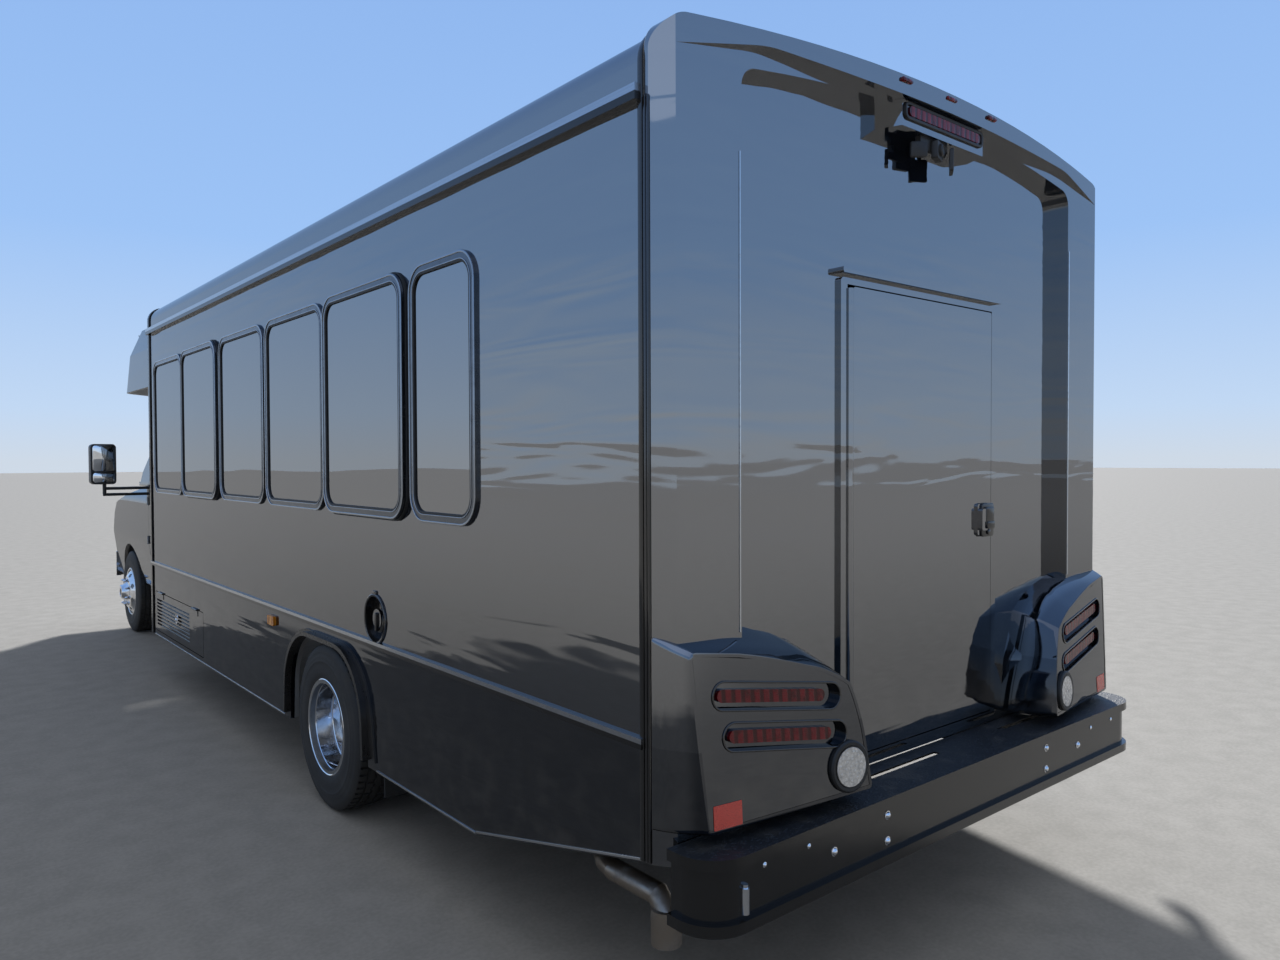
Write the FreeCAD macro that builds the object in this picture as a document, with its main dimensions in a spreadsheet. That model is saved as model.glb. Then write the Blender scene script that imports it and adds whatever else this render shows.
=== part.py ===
import FreeCAD, Part
import Sketcher
import math
import os

# A shuttle bus: a passenger body on a stretched van chassis with twin rear wheels.
# Millimetres. +Z is up and the nose points to -Y, so the driver's side is +X.
# The origin is on the ground, on the centre line, halfway along the bus.

doc = FreeCAD.newDocument("minibus")
sheet = doc.addObject("Spreadsheet::Sheet", "Sizes")

# name, millimetres or degrees, what it is
SIZES = [
    ("wheelbase", 5436, "front axle to rear axle"),
    ("front_overhang", 760, "front axle to the face of the front bumper"),
    ("rear_overhang", 2370, "rear axle to the edge of the roof lip"),
    ("bumper_reach", 110, "rear bumper's tube behind the roof lip"),
    ("body_length", 5780, "front wall of the passenger body to the roof lip"),
    ("body_width", 2438, "across the side walls"),
    ("wall", 40, "side walls, roof and front wall"),
    ("skirt_height", 310, "bottom edge of the skirt"),
    ("kink_station", 1020, "roof lip forward to the kink in the skirt"),
    ("tail_height", 517, "bottom edge of the body at the rear"),
    ("eave_height", 2515, "joint of side wall and roof"),
    ("eave_radius", 90, "round edge of the roof"),
    ("roof_height", 2751, "crest of the roof"),
    ("crown_radius", 10300, "arch of the roof"),
    ("cap_depth", 130, "roof lip to the front edge of the rear cap"),
    ("cap_rise", 22, "rear cap above the roof"),
    ("lip_reach", 53, "roof lip behind the corner posts"),
    ("lip_bow", 12900, "bow of the roof lip seen from above"),
    ("lip_low", 2714, "lower edge of the lip on the centre line"),
    ("lip_break", 860, "centre line to where the lip's lower edge turns down"),
    ("corner_run", 41, "chamfer of the corner posts across the bus"),
    ("corner_back", 60, "chamfer of the corner posts along the bus"),
    ("recess_depth", 105, "rear wall in from the roof lip"),
    ("recess_half", 940, "half the width between the corner posts"),
    ("recess_height", 2705, "top of the recess on the centre line"),
    ("recess_crown", 5700, "arch of the recess's top edge"),
    ("recess_corner", 60, "round top corners of the recess"),
    ("floor_height", 830, "top of the floor"),
    ("floor_thick", 40, "floor board"),
    ("bearer_width", 50, "cross bearers below the floor"),
    ("bearer_pitch", 640, "spacing of the bearers"),
    ("arch_half", 466, "half the rear arch at the skirt"),
    ("arch_shoulder", 436, "half the rear arch at its top"),
    ("arch_top", 761, "top of the rear arch"),
    ("arch_corner", 290, "round of the rear arch"),
    ("flare_width", 26, "width of the arch's flare at the top"),
    ("flare_foot", 84, "width of the flare at its feet"),
    ("flare_low", 345, "feet of the flare"),
    ("flare_sheet", 7, "flare's flat band on the wall"),
    ("flare_lip", 20, "width of the flare's lip"),
    ("flare_reach", 32, "flare's lip out from the wall"),
    ("window_pitch", 826, "spacing of the wide windows"),
    ("window_station", 1910, "roof lip to the middle of the rearmost wide window"),
    ("window_width", 800, "outside of a wide window's frame"),
    ("narrow_station", 1235, "roof lip to the middle of the narrow window"),
    ("narrow_width", 490, "outside of the narrow window's frame"),
    ("window_low", 1345, "bottom of the frames"),
    ("window_high", 2282, "top of the frames"),
    ("window_corner", 105, "round corners of the frames"),
    ("frame_flange", 18, "frame's flange over the wall"),
    ("frame_face", 34, "frame seen from outside"),
    ("frame_proud", 9, "fixed frame out from the wall"),
    ("vent_proud", 22, "hinged frame out from the wall"),
    ("glass_thick", 6, "window glass"),
    ("glass_inset", 6, "glass in from the wall's face"),
    ("seat_gap", 0.3, "gap of a piece seated in another"),
    ("door_gap", 5, "gap round a door"),
    ("belt_height", 828, "middle of the belt moulding"),
    ("belt_width", 28, "height of the belt moulding"),
    ("belt_proud", 12, "belt moulding out from the wall"),
    ("drip_width", 42, "height of the drip rail"),
    ("drip_proud", 24, "drip rail out from the wall"),
    ("locker_front", 5680, "roof lip to the front edge of the locker door"),
    ("locker_rear", 4400, "roof lip to its rear edge"),
    ("locker_low", 345, "bottom edge of the locker door"),
    ("locker_high", 632, "top edge of the locker door"),
    ("louvre_count", 8, "louvres of the locker door"),
    ("locker_hinge", 6, "radius of the locker door's hinge"),
    ("filler_station", 1821, "roof lip to the filler"),
    ("filler_height", 932, "middle of the filler"),
    ("filler_radius", 95, "filler's recess"),
    ("back_door_half", 428, "half the rear door's opening"),
    ("back_door_low", 628, "bottom of the rear door's opening"),
    ("back_door_high", 2112, "top of the rear door's opening"),
    ("back_door_thick", 42, "rear door"),
    ("back_hinge", 12, "radius of the rear door's hinge"),
    ("entry_station", 5215, "roof lip to the middle of the entry door"),
    ("entry_width", 820, "opening of the entry door"),
    ("entry_low", 400, "bottom of the entry door"),
    ("entry_high", 2270, "top of the entry door"),
    ("leaf_thick", 34, "entry door's leaf"),
    ("leaf_hinge", 8, "radius of the entry door's hinges"),
    ("leaf_stile", 55, "leaf's frame round its glass"),
    ("door_flange", 32, "width of the frame round the rear door's opening"),
    ("hood_lamp_low", 2625, "bottom of the high brake lamp's housing"),
    ("hood_lamp_half", 275, "half the housing's width at the rear wall"),
    ("pod_reach", 80, "lamp pod behind the roof lip at the reverse lamp"),
    ("pocket_tall", 70, "pocket of a tail lamp"),
    ("pocket_deep", 20, "pocket of a tail lamp"),
    ("lens_tall", 34, "lens of a tail lamp"),
    ("lens_deep", 13, "lens of a tail lamp"),
    ("reverse_x", 648, "reverse lamp from the centre line"),
    ("reverse_z", 701, "middle of the reverse lamp"),
    ("reverse_radius", 70, "reverse lamp with its ring"),
    ("bumper_half", 1204, "half the rear bumper's width"),
    ("bumper_top", 581, "rear bumper's tread"),
    ("bumper_low", 400, "middle of the rear bumper's lower tube"),
    ("bumper_corner", 105, "round corners of the rear bumper"),
    ("bumper_tube", 15, "radius of the rear bumper's tubes"),
    ("bumper_sheet", 6, "rear bumper's plate"),
    ("cab_width", 2010, "across the cab at its belt"),
    ("cab_roof_height", 2110, "top of the cab"),
    ("cab_floor", 730, "cab's floor"),
    ("cab_wall", 45, "cab's walls and doors"),
    ("cowl_station", 506, "front axle back to the cab's front wall"),
    ("cab_door_front", 860, "front axle back to the front edge of a cab door"),
    ("cab_door_rear", 1900, "front axle back to the rear edge of a cab door"),
    ("cab_door_low", 520, "bottom of the cab's door openings"),
    ("cab_hinge", 7.0, "radius of the cab doors' hinges"),
    ("cab_belt", 1385, "bottom of the cab's side glass"),
    ("nose_station", 660, "front axle forward to the grille's panel"),
    ("nose_low", 470, "bottom of the front wings"),
    ("hood_high", 1400, "hood at the windscreen"),
    ("hood_low", 1180, "hood at the grille"),
    ("hood_half", 790, "half the hood's width"),
    ("front_arch", 440, "radius of the front arches"),
    ("front_bumper_low", 455, "bottom of the front bumper"),
    ("front_bumper_high", 690, "top of the front bumper"),
    ("rail_half", 432, "outside of the chassis rails"),
    ("rail_low", 500, "bottom of the chassis rails"),
    ("rail_high", 668, "top of the chassis rails"),
    ("rail_flange", 65, "width of the chassis rails"),
    ("rail_sheet", 7, "sheet of the chassis rails"),
    ("engine_low", 540, "bottom of the engine"),
    ("gearbox_low", 430, "bottom of the gearbox"),
    ("pipe_radius", 32, "exhaust pipe"),
    ("pipe_height", 350, "exhaust pipe under the rails"),
    ("pipe_over_axle", 530, "exhaust pipe over the rear axle"),
    ("tail_radius", 44, "turned-down tail of the exhaust"),
    ("muffler_radius", 92, "silencer"),
    ("tyre_radius", 372, "tyre"),
    ("tyre_width", 225, "tyre"),
    ("rim_radius", 203, "rim below the tyre"),
    ("rim_sheet", 8, "rim and disc"),
    ("front_track", 1763, "middle to middle of the front tyres"),
    ("rear_track", 1950, "middle to middle of the twin tyres"),
    ("twin_spacing", 281, "middle to middle of one pair of twin tyres"),
    ("kingpin_half", 700, "kingpin from the centre line"),
    ("mirror_reach", 1345, "middle of the mirror from the centre line"),
    ("mirror_station", 900, "front axle back to the mirrors"),
]


class Length:
    """A length that knows its value and the expression that ties it to the sheet."""

    def __init__(self, value, text):
        self.value = float(value)
        self.text = text

    def joined(self, sign, other, value, swapped=False):
        mine, theirs = self.text, other.text if isinstance(other, Length) else "%.9g" % other
        if swapped:
            mine, theirs = theirs, mine
        return Length(value, "(%s %s %s)" % (mine, sign, theirs))

    def __add__(self, other):
        return self.joined("+", other, self.value + number(other))

    def __radd__(self, other):
        return self.joined("+", other, self.value + other, True)

    def __sub__(self, other):
        return self.joined("-", other, self.value - number(other))

    def __rsub__(self, other):
        return self.joined("-", other, other - self.value, True)

    def __mul__(self, other):
        return self.joined("*", other, self.value * number(other))

    def __rmul__(self, other):
        return self.joined("*", other, self.value * other, True)

    def __truediv__(self, other):
        return self.joined("/", other, self.value / number(other))

    def __neg__(self):
        return Length(-self.value, "(0 - %s)" % self.text)


def number(length):
    return length.value if isinstance(length, Length) else float(length)


def bind(thing, path, length):
    """Ties a property to its expression, or sets a plain number."""
    text = length.text if isinstance(length, Length) else "%.9g" % length
    thing.setExpression(path, text)


class Sheet:
    """The sheet's sizes by name."""

    def __init__(self, rows):
        for row, (name, value, note) in enumerate(rows, 1):
            sheet.set("A%d" % row, note)
            sheet.set("B%d" % row, str(value))
            sheet.setAlias("B%d" % row, name)
        doc.recompute()
        for name, value, note in rows:
            setattr(self, name, Length(sheet.get(name), "Sizes." + name))


S = Sheet(SIZES)

ACROSS, ALONG, PLAN = "YZ_Plane", "XZ_Plane", "XY_Plane"
# ACROSS is drawn in (y, z) and goes along X; ALONG is drawn in (x, z) and goes
# along Y; PLAN is drawn in (x, y) and goes along Z.


def rounded(points):
    """Straight runs and corner arcs of a closed outline of (a, b) or (a, b, radius)."""
    runs = []
    count = len(points)
    for i, point in enumerate(points):
        before, after = points[i - 1], points[(i + 1) % count]
        if len(point) == 2:
            runs.append((point, point, None))
            continue
        a, b = number(point[0]), number(point[1])
        back = (number(before[0]) - a, number(before[1]) - b)
        ahead = (number(after[0]) - a, number(after[1]) - b)
        back_long, ahead_long = math.hypot(*back), math.hypot(*ahead)
        back = (back[0] / back_long, back[1] / back_long)
        ahead = (ahead[0] / ahead_long, ahead[1] / ahead_long)
        half = math.acos(max(-1, min(1, back[0] * ahead[0] + back[1] * ahead[1]))) / 2
        reach = point[2] * (1 / math.tan(half))
        start = (point[0] + reach * back[0], point[1] + reach * back[1])
        end = (point[0] + reach * ahead[0], point[1] + reach * ahead[1])
        middle = (back[0] + ahead[0], back[1] + ahead[1])
        size = math.hypot(*middle)
        away = number(point[2]) * (1 / math.sin(half) - 1)
        crest = (a + middle[0] / size * away, b + middle[1] / size * away)
        runs.append((start, end, (crest, point[2])))
    return runs


def vector(point):
    return FreeCAD.Vector(number(point[0]), number(point[1]), 0)


class Slant:
    """A slanted drawing plane about a spot, seen from behind the bus; tip turns the drawing."""

    def __init__(self, spot, out, tip):
        self.spot = spot
        self.out = FreeCAD.Vector(*out).normalize()
        inward = FreeCAD.Vector(-self.out.x, -self.out.z, self.out.y)
        level = FreeCAD.Vector(math.cos(tip), math.sin(tip), 0)
        self.turn = FreeCAD.Rotation(level, FreeCAD.Vector(0, 1, 0), inward, "ZXY")

    def base(self, out):
        """The spot, moved outwards, in the upright plane's own directions."""
        x, y, z = self.spot
        return (x + out * self.out.x, z + out * self.out.z, -(y + out * self.out.y))


class Piece:
    """One sub-part, built up from outlines."""

    def __init__(self, name, x=0, y=0, z=0):
        self.body = doc.addObject("PartDesign::Body", name)
        self.body.Label = name
        self.body.AllowCompound = True
        for axis, place in (("x", x), ("y", y), ("z", z)):
            bind(self.body, ".Placement.Base." + axis, place)
        PIECES.append(self.body)

    def plane(self, role):
        return [item for item in self.body.Origin.OriginFeatures if item.Role == role][0]

    def outline(self, points, shapes, rules):
        """Lists the runs of one closed outline and the rules that hold their ends."""
        runs = rounded(points)
        ends = []
        for i, (start, end, arc) in enumerate(runs):
            if arc:
                crest, radius = arc
                turn = (vector(crest) - vector(start)).cross(vector(end) - vector(crest)).z
                first, last = (start, end) if turn > 0 else (end, start)
                shapes.append(Part.Arc(vector(first), vector(crest), vector(last)))
                index = len(shapes) - 1
                rules.append((Sketcher.Constraint("Radius", index, number(radius)), radius))
                ends.append(((index, 1), (index, 2)) if turn > 0 else ((index, 2), (index, 1)))
            target = runs[(i + 1) % len(runs)][0]
            if (vector(end) - vector(target)).Length < 1e-6:
                continue
            shapes.append(Part.LineSegment(vector(end), vector(target)))
            index = len(shapes) - 1
            ends.append(((index, 1), (index, 2)))
            self.pin(index, 1, end, rules)
            if runs[(i + 1) % len(runs)][2]:
                self.pin(index, 2, target, rules)
        for i, (head, tail) in enumerate(ends):
            rules.append((Sketcher.Constraint("Coincident", *ends[i - 1][1], *head), None))

    def pin(self, index, end, point, rules):
        for kind, place in (("DistanceX", point[0]), ("DistanceY", point[1])):
            rules.append((Sketcher.Constraint(kind, -1, 1, index, end, number(place)), place))

    def sketch(self, plane, loops, at):
        sketch = self.body.newObject("Sketcher::SketchObject", "Outline")
        base = (0, 0, -at if plane == ALONG else at)
        if isinstance(plane, Slant):
            sketch.AttachmentOffset = FreeCAD.Placement(FreeCAD.Vector(), plane.turn)
            base = plane.base(at)
            plane = ALONG
        sketch.AttachmentSupport = [(self.plane(plane), "")]
        sketch.MapMode = "FlatFace"
        for axis, place in zip("xyz", base):
            bind(sketch, ".AttachmentOffset.Base." + axis, place)
        shapes, rules = [], []
        for loop in loops:
            if isinstance(loop, dict):
                spot, radius = loop["at"], loop["radius"]
                shapes.append(Part.Circle(vector(spot), FreeCAD.Vector(0, 0, 1), number(radius)))
                index = len(shapes) - 1
                self.pin(index, 3, spot, rules)
                rules.append((Sketcher.Constraint("Radius", index, number(radius)), radius))
            else:
                self.outline(loop, shapes, rules)
        sketch.addGeometry(shapes, False)
        sketch.addConstraint([rule for rule, place in rules])
        for index, (rule, place) in enumerate(rules):
            if isinstance(place, Length):
                sketch.setExpression("Constraints[%d]" % index, place.text)
        return sketch

    def pad(self, plane, loops, start, end):
        """Adds the outline from start to end along the plane's axis."""
        pad = self.body.newObject("PartDesign::Pad", "Pad")
        pad.Profile = self.sketch(plane, loops, start)
        bind(pad, "Length", end - start)
        pad.Reversed = plane not in (ACROSS, PLAN)
        self.body.Tip = pad
        return self

    def cut(self, plane, loops, start, end):
        """Takes the outline away from start to end."""
        cut = self.body.newObject("PartDesign::Pocket", "Pocket")
        cut.Profile = self.sketch(plane, loops, start)
        bind(cut, "Length", end - start)
        cut.Reversed = plane in (ACROSS, PLAN)
        self.body.Tip = cut
        return self

    def turn(self, loops, kind="PartDesign::Revolution", axis="H_Axis", plane=PLAN):
        """Turns a half section about the drawing's own axis."""
        sketch = self.sketch(plane, loops, 0)
        turn = self.body.newObject(kind, "Turn")
        turn.Profile = sketch
        turn.ReferenceAxis = (sketch, [axis])
        turn.Angle = 360
        self.body.Tip = turn
        return self

    def loft(self, kind, plane, sections):
        """Joins outlines at their stations with ruled faces."""
        sketches = [self.sketch(plane, [outline], at) for at, outline in sections]
        loft = self.body.newObject(kind, "Loft")
        loft.Profile = sketches[0]
        loft.Sections = [(item, [""]) for item in sketches[1:]]
        loft.Ruled = True
        self.body.Tip = loft
        return self

    def soften(self, radius, wanted):
        """Rounds the edges that the test picks."""
        doc.recompute()
        tip = self.body.Tip
        names = ["Edge%d" % (i + 1) for i, edge in enumerate(tip.Shape.Edges) if wanted(edge)]
        fillet = self.body.newObject("PartDesign::Fillet", "Fillet")
        fillet.Base = (tip, names)
        bind(fillet, "Radius", radius)
        self.body.Tip = fillet
        return self


PIECES = []


def box_loop(a_low, a_high, b_low, b_high, radius=None):
    corners = [(a_low, b_low), (a_high, b_low), (a_high, b_high), (a_low, b_high)]
    return [corner + (radius,) for corner in corners] if radius is not None else corners


def sided(side, inner, outer):
    """Start and end along X of what lies from inner to outer on one side."""
    return (inner, outer) if side > 0 else (-outer, -inner)


def mirrored(side, points):
    return [(point[0] * side if side < 0 else point[0],) + tuple(point[1:]) for point in points]


# Stations along the bus
half_length = (S.bumper_reach + S.rear_overhang + S.wheelbase + S.front_overhang) / 2
rear = half_length - S.bumper_reach
rear_axle = rear - S.rear_overhang
front_axle = rear_axle - S.wheelbase
box_front = rear - S.body_length
post_front = rear - S.cap_depth
nose = front_axle - S.nose_station
cowl = front_axle + S.cowl_station
half_width = S.body_width / 2
inner_half = half_width - S.wall
rear_wall = rear - S.recess_depth
post_face = rear - S.lip_reach


def arched(half, low, crest, crown, corner):
    """An outline with upright sides, round top corners and an arched top."""
    lean = math.asin(number(half - corner * 1.2) / number(crown))
    ridge = crest + crown * (1 / math.cos(lean) - 1)
    knee = ridge - half * math.tan(lean)
    return [(-half, low), (half, low), (half, knee, corner), (0, ridge, crown), (-half, knee, corner)]


def body_outline(inset, low, rise=0):
    """Cross-section of the passenger body, drawn in by the inset."""
    return arched(half_width - inset, low, S.roof_height + rise - inset, S.crown_radius - inset,
                  S.eave_radius - inset)


def roof_outline():
    """The roof's own arch, from eave to eave, as thick as the wall."""
    outer = body_outline(0, S.eave_height)
    inner = body_outline(S.wall, S.eave_height)
    return [outer[1], outer[2], outer[3], outer[4], outer[0], inner[0], inner[4], inner[3], inner[2], inner[1]]


# Windows: middle ahead of the corner posts, width, out from the wall, sides that have it
WINDOWS = [
    (S.narrow_station, S.narrow_width, S.frame_proud, (1, -1)),
    (S.window_station, S.window_width, S.vent_proud, (1, -1)),
    (S.window_station + S.window_pitch, S.window_width, S.frame_proud, (1, -1)),
    (S.window_station + S.window_pitch * 2, S.window_width, S.frame_proud, (1, -1)),
    (S.window_station + S.window_pitch * 3, S.window_width, S.vent_proud, (1, -1)),
    (S.window_station + S.window_pitch * 4, S.window_width, S.frame_proud, (1,)),
]


def window_loop(station, width, inset):
    middle = rear - station
    return box_loop(middle - width / 2 + inset, middle + width / 2 - inset,
                    S.window_low + inset, S.window_high - inset, S.window_corner - inset)


def arch_loop(grow):
    return [(rear_axle - S.arch_half - grow, S.skirt_height - 60),
            (rear_axle - S.arch_shoulder - grow, S.arch_top + grow, S.arch_corner + grow),
            (rear_axle + S.arch_shoulder + grow, S.arch_top + grow, S.arch_corner + grow),
            (rear_axle + S.arch_half + grow, S.skirt_height - 60)]


def body_side(side, name):
    wall = Piece(name)
    start, end = sided(side, inner_half, half_width)
    wall.pad(ACROSS, [[(box_front + S.wall, S.skirt_height), (rear - S.kink_station, S.skirt_height),
                       (post_front, S.tail_height), (post_front, S.eave_height),
                       (box_front + S.wall, S.eave_height)]], start, end)
    holes = [window_loop(station, width, S.frame_flange) for station, width, proud, sides in WINDOWS
             if side in sides]
    wall.cut(ACROSS, holes, start - 1, end + 1)
    wall.cut(ACROSS, [arch_loop(0)], start - 1, end + 1)
    if side > 0:
        locker = box_loop(rear - S.locker_front, rear - S.locker_rear, S.locker_low, S.locker_high, 12)
        wall.cut(ACROSS, [locker], start - 1, end + 1)
        filler = (rear - S.filler_station, S.filler_height)
        wall.cut(ACROSS, [{"at": filler, "radius": S.filler_radius}], start + 8, end + 1)
        wall.pad(ACROSS, [{"at": filler, "radius": S.filler_radius * 0.42}], start + 7, end - 6)
    else:
        entry = box_loop(rear - S.entry_station - S.entry_width / 2,
                         rear - S.entry_station + S.entry_width / 2, S.entry_low - S.door_gap, S.entry_high, 30)
        wall.cut(ACROSS, [entry], start - 1, end + 1)
    return wall


body_side(1, "body_side_left")
body_side(-1, "body_side_right")

roof = Piece("body_roof")
roof.pad(ALONG, [roof_outline()], box_front + S.wall, post_front)

# The front cap: front wall of the body with the opening to the cab, and the brow above the windscreen
cab_half = S.cab_width / 2
front_cap = Piece("front_cap")
front_cap.pad(ALONG, [body_outline(0, S.skirt_height)], box_front, box_front + S.wall)
front_cap.cut(ALONG, [[(-(cab_half - 30), S.skirt_height - 50), (cab_half - 30, S.skirt_height - 50),
                       (cab_half - 30, 1450), (810, S.cab_roof_height - 20, 90),
                       (-810, S.cab_roof_height - 20, 90), (-(cab_half - 30), 1450)]],
              box_front - 1, box_front + S.wall + 1)
# height above the windscreen's top, half width, corner ahead of the body, tip ahead of the body
BROW = [(0, 1190, 1060, 1640), (290, 1180, 960, 1560), (470, 1140, 720, 1280), (560, 1010, 420, 820)]


def brow_loop(row, inset):
    rise, half, corner, tip = row
    return [(-(half - inset), box_front + 2), (half - inset, box_front + 2),
            (half - inset, box_front - corner + inset, 300 - inset),
            (half * 0.52 - inset, box_front - tip + inset, 420 - inset),
            (-(half * 0.52 - inset), box_front - tip + inset, 420 - inset),
            (-(half - inset), box_front - corner + inset, 300 - inset)]


brow_low = S.cab_roof_height + 22
front_cap.loft("PartDesign::AdditiveLoft", PLAN,
               [(brow_low + row[0], brow_loop(row, 0)) for row in BROW])
front_cap.loft("PartDesign::SubtractiveLoft", PLAN,
               [(brow_low + row[0] - S.wall * (0.7 if row[0] else 0.01), brow_loop(row, S.wall * 0.7))
                for row in BROW])

# The rear cap: corner posts with their chamfers, the bowed roof lip and the recessed rear wall
rear_cap = Piece("rear_cap")
rear_cap.pad(ALONG, [body_outline(0, S.tail_height, S.cap_rise)], post_front, post_face)
rear_cap.pad(ALONG, [body_outline(0, S.tail_height, S.cap_rise)], post_face, rear + 1)
beyond = half_width + 20
lip_edge = [(beyond, S.lip_low - 102), (S.lip_break, S.lip_low - 17, 500), (0, S.lip_low, 20000),
            (-S.lip_break, S.lip_low - 17, 500), (-beyond, S.lip_low - 102)]
rear_cap.cut(ALONG, [lip_edge + [(-beyond, S.tail_height - 10), (beyond, S.tail_height - 10)]],
             post_face, rear + 2)
corner_x = half_width - S.corner_run
rear_cap.cut(PLAN, [[(-beyond, rear + 3), (-beyond, post_face), (-corner_x, post_face),
                     (0, rear + S.lip_reach, S.lip_bow), (corner_x, post_face), (beyond, post_face),
                     (beyond, rear + 3)]], S.lip_low - 150, S.roof_height + 100)
for side in (1, -1):
    chamfer = [(corner_x - S.corner_run * 0.2, post_face + S.corner_back * 0.2),
               (half_width + S.corner_run, post_face + S.corner_back * 0.2),
               (half_width + S.corner_run, post_face - S.corner_back * 2)]
    rear_cap.cut(PLAN, [mirrored(side, chamfer)], S.tail_height - 1, S.roof_height + 100)
rear_cap.cut(ALONG, [arched(S.recess_half, S.tail_height - 10, S.recess_height, S.recess_crown, S.recess_corner)],
             rear_wall, rear + 2)
door_opening = box_loop(-S.back_door_half, S.back_door_half, S.back_door_low, S.back_door_high)
rear_cap.cut(ALONG, [door_opening], post_front - 1, rear + 1)
rear_cap.cut(ALONG, [box_loop(-S.rail_half - 12, S.rail_half + 12, S.tail_height - 10, S.bumper_top + 2)],
             post_front - 1, rear_wall + 1)
for side in (1, -1):
    post = sided(side, S.recess_half + S.wall * 0.7, inner_half)
    rear_cap.cut(ALONG, [box_loop(*post, S.tail_height + 40, S.eave_height)], post_front - 1, post_face - 35)
# Frame round the rear door, the drip rail over it, and the housing of the high brake lamp
frame_half = S.back_door_half + S.door_flange
rear_cap.pad(ALONG, [box_loop(-frame_half, frame_half, S.back_door_low - 28, S.back_door_high + 20, 14),
                     door_opening], rear_wall - 1, rear_wall + S.back_hinge + S.seat_gap)
rear_cap.pad(ALONG, [box_loop(-frame_half - 10, frame_half + 10, S.back_door_high + 30, S.back_door_high + 48, 6)],
             rear_wall - 1, rear_wall + 30)
rear_cap.pad(PLAN, [[(-S.hood_lamp_half, rear_wall - 2), (S.hood_lamp_half, rear_wall - 2),
                     (S.hood_lamp_half - 35, rear - 25), (-S.hood_lamp_half + 35, rear - 25)]],
             S.hood_lamp_low, S.lip_low - 6)

# The pods of the tail lamps, moulded with the cap: side, height and corner radius of the outline
# on the wall, and of the one that it narrows to behind the pod's slanted face
POD_WALL = [(1219, 612), (1219, 1110), (890, 1103, 120), (690, 1038, 100), (615, 980, 60), (545, 810, 200), (524, 612)]
POD_TIP = [(1082, 627), (1108, 1025), (906, 990, 120), (687, 953, 60), (633, 922, 40), (593, 836, 60), (562, 627)]
POD_TURN, POD_LEAN = 0.13, 0.059
SLOT_TIP = math.radians(7.8)


def pod_face(x, z):
    """Station of the pod's slanted face at a distance from the centre line and a height."""
    return rear + S.pod_reach - POD_TURN * (x - S.reverse_x) - POD_LEAN * (z - S.reverse_z)


def on_pod(side, x, z, tip=0):
    """A drawing plane on a pod's face, about a spot of it."""
    return Slant((side * x, pod_face(x, z), z), (side * POD_TURN, 1, POD_LEAN), side * tip)


def slot(long, tall):
    return box_loop(-long / 2, long / 2, -tall / 2, tall / 2, (tall - 1) / 2)


# Tail lamps: middle of the pocket across and up, its length, middle of the lens across, its length
TAIL_LAMPS = [(888, 932, 447, 903, 377), (865, 823, 435, 877, 361)]
for side in (1, -1):
    rear_cap.loft("PartDesign::AdditiveLoft", ALONG, [
        (rear_wall - 2, mirrored(side, POD_WALL)), (rear + 100, mirrored(side, POD_TIP))])
    slab = []
    for z in (580, 1130):
        slab.append((z, mirrored(side, [(490, pod_face(490, z)), (1240, pod_face(1240, z)),
                                        (1240, rear + 160), (490, rear + 160)])))
    rear_cap.loft("PartDesign::SubtractiveLoft", PLAN, slab)
    for pocket_x, pocket_z, pocket_long, lens_x, lens_long in TAIL_LAMPS:
        rear_cap.cut(on_pod(side, pocket_x, pocket_z, SLOT_TIP), [slot(pocket_long, S.pocket_tall)],
                     -S.pocket_deep, 5)

# Floor board on its cross bearers, with the step well inside the entry door
floor = Piece("body_floor")
floor_low = S.floor_height - S.floor_thick
bearer_half = 1150
floor.pad(PLAN, [box_loop(-inner_half, inner_half, box_front + S.wall, post_front - 9)], floor_low, S.floor_height)
well = (rear - S.entry_station - S.entry_width / 2, rear - S.entry_station + S.entry_width / 2)
well_half = 620
floor.cut(PLAN, [box_loop(-inner_half - 1, -well_half, *well)], floor_low - 1, S.floor_height + 1)
tread = S.entry_low
floor.pad(ALONG, [[(-well_half, floor_low - 5), (-well_half, S.floor_height), (-well_half - 30, S.floor_height),
                   (-well_half - 30, 645), (-well_half - 270, 645), (-well_half - 270, tread + 30),
                   (-inner_half, tread + 30), (-inner_half, tread), (-well_half - 240, tread),
                   (-well_half - 240, 615), (-well_half, 615)]], *well)
bearer_count = int((number(S.body_length) - 500) // number(S.bearer_pitch))
for index in range(bearer_count):
    start = post_front - 130 - S.bearer_pitch * index
    if number(rear_axle - 560) < number(start) < number(rear_axle + 560):
        half = 520
    elif number(well[0]) - 60 < number(start) < number(well[1]) + 10:
        half = well_half - 20
    else:
        half = bearer_half
    floor.pad(PLAN, [box_loop(-half, half, start - S.bearer_width, start)], S.rail_high, floor_low)

# Window frames and glass on both sides
frames = Piece("window_frames")
glass = Piece("side_glass")
for side in (1, -1):
    for station, width, proud, sides in WINDOWS:
        if side not in sides:
            continue
        inner = window_loop(station, width, S.frame_face)
        plug = window_loop(station, width, S.frame_flange + S.seat_gap)
        frames.pad(ACROSS, [plug, inner], *sided(side, half_width - S.wall * 0.6, half_width))
        frames.pad(ACROSS, [window_loop(station, width, 0), inner], *sided(side, half_width, half_width + proud))
        pane = window_loop(station, width, S.frame_face + S.seat_gap)
        face = half_width + proud - S.glass_inset
        glass.pad(ACROSS, [pane], *sided(side, face - S.glass_thick, face))

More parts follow.
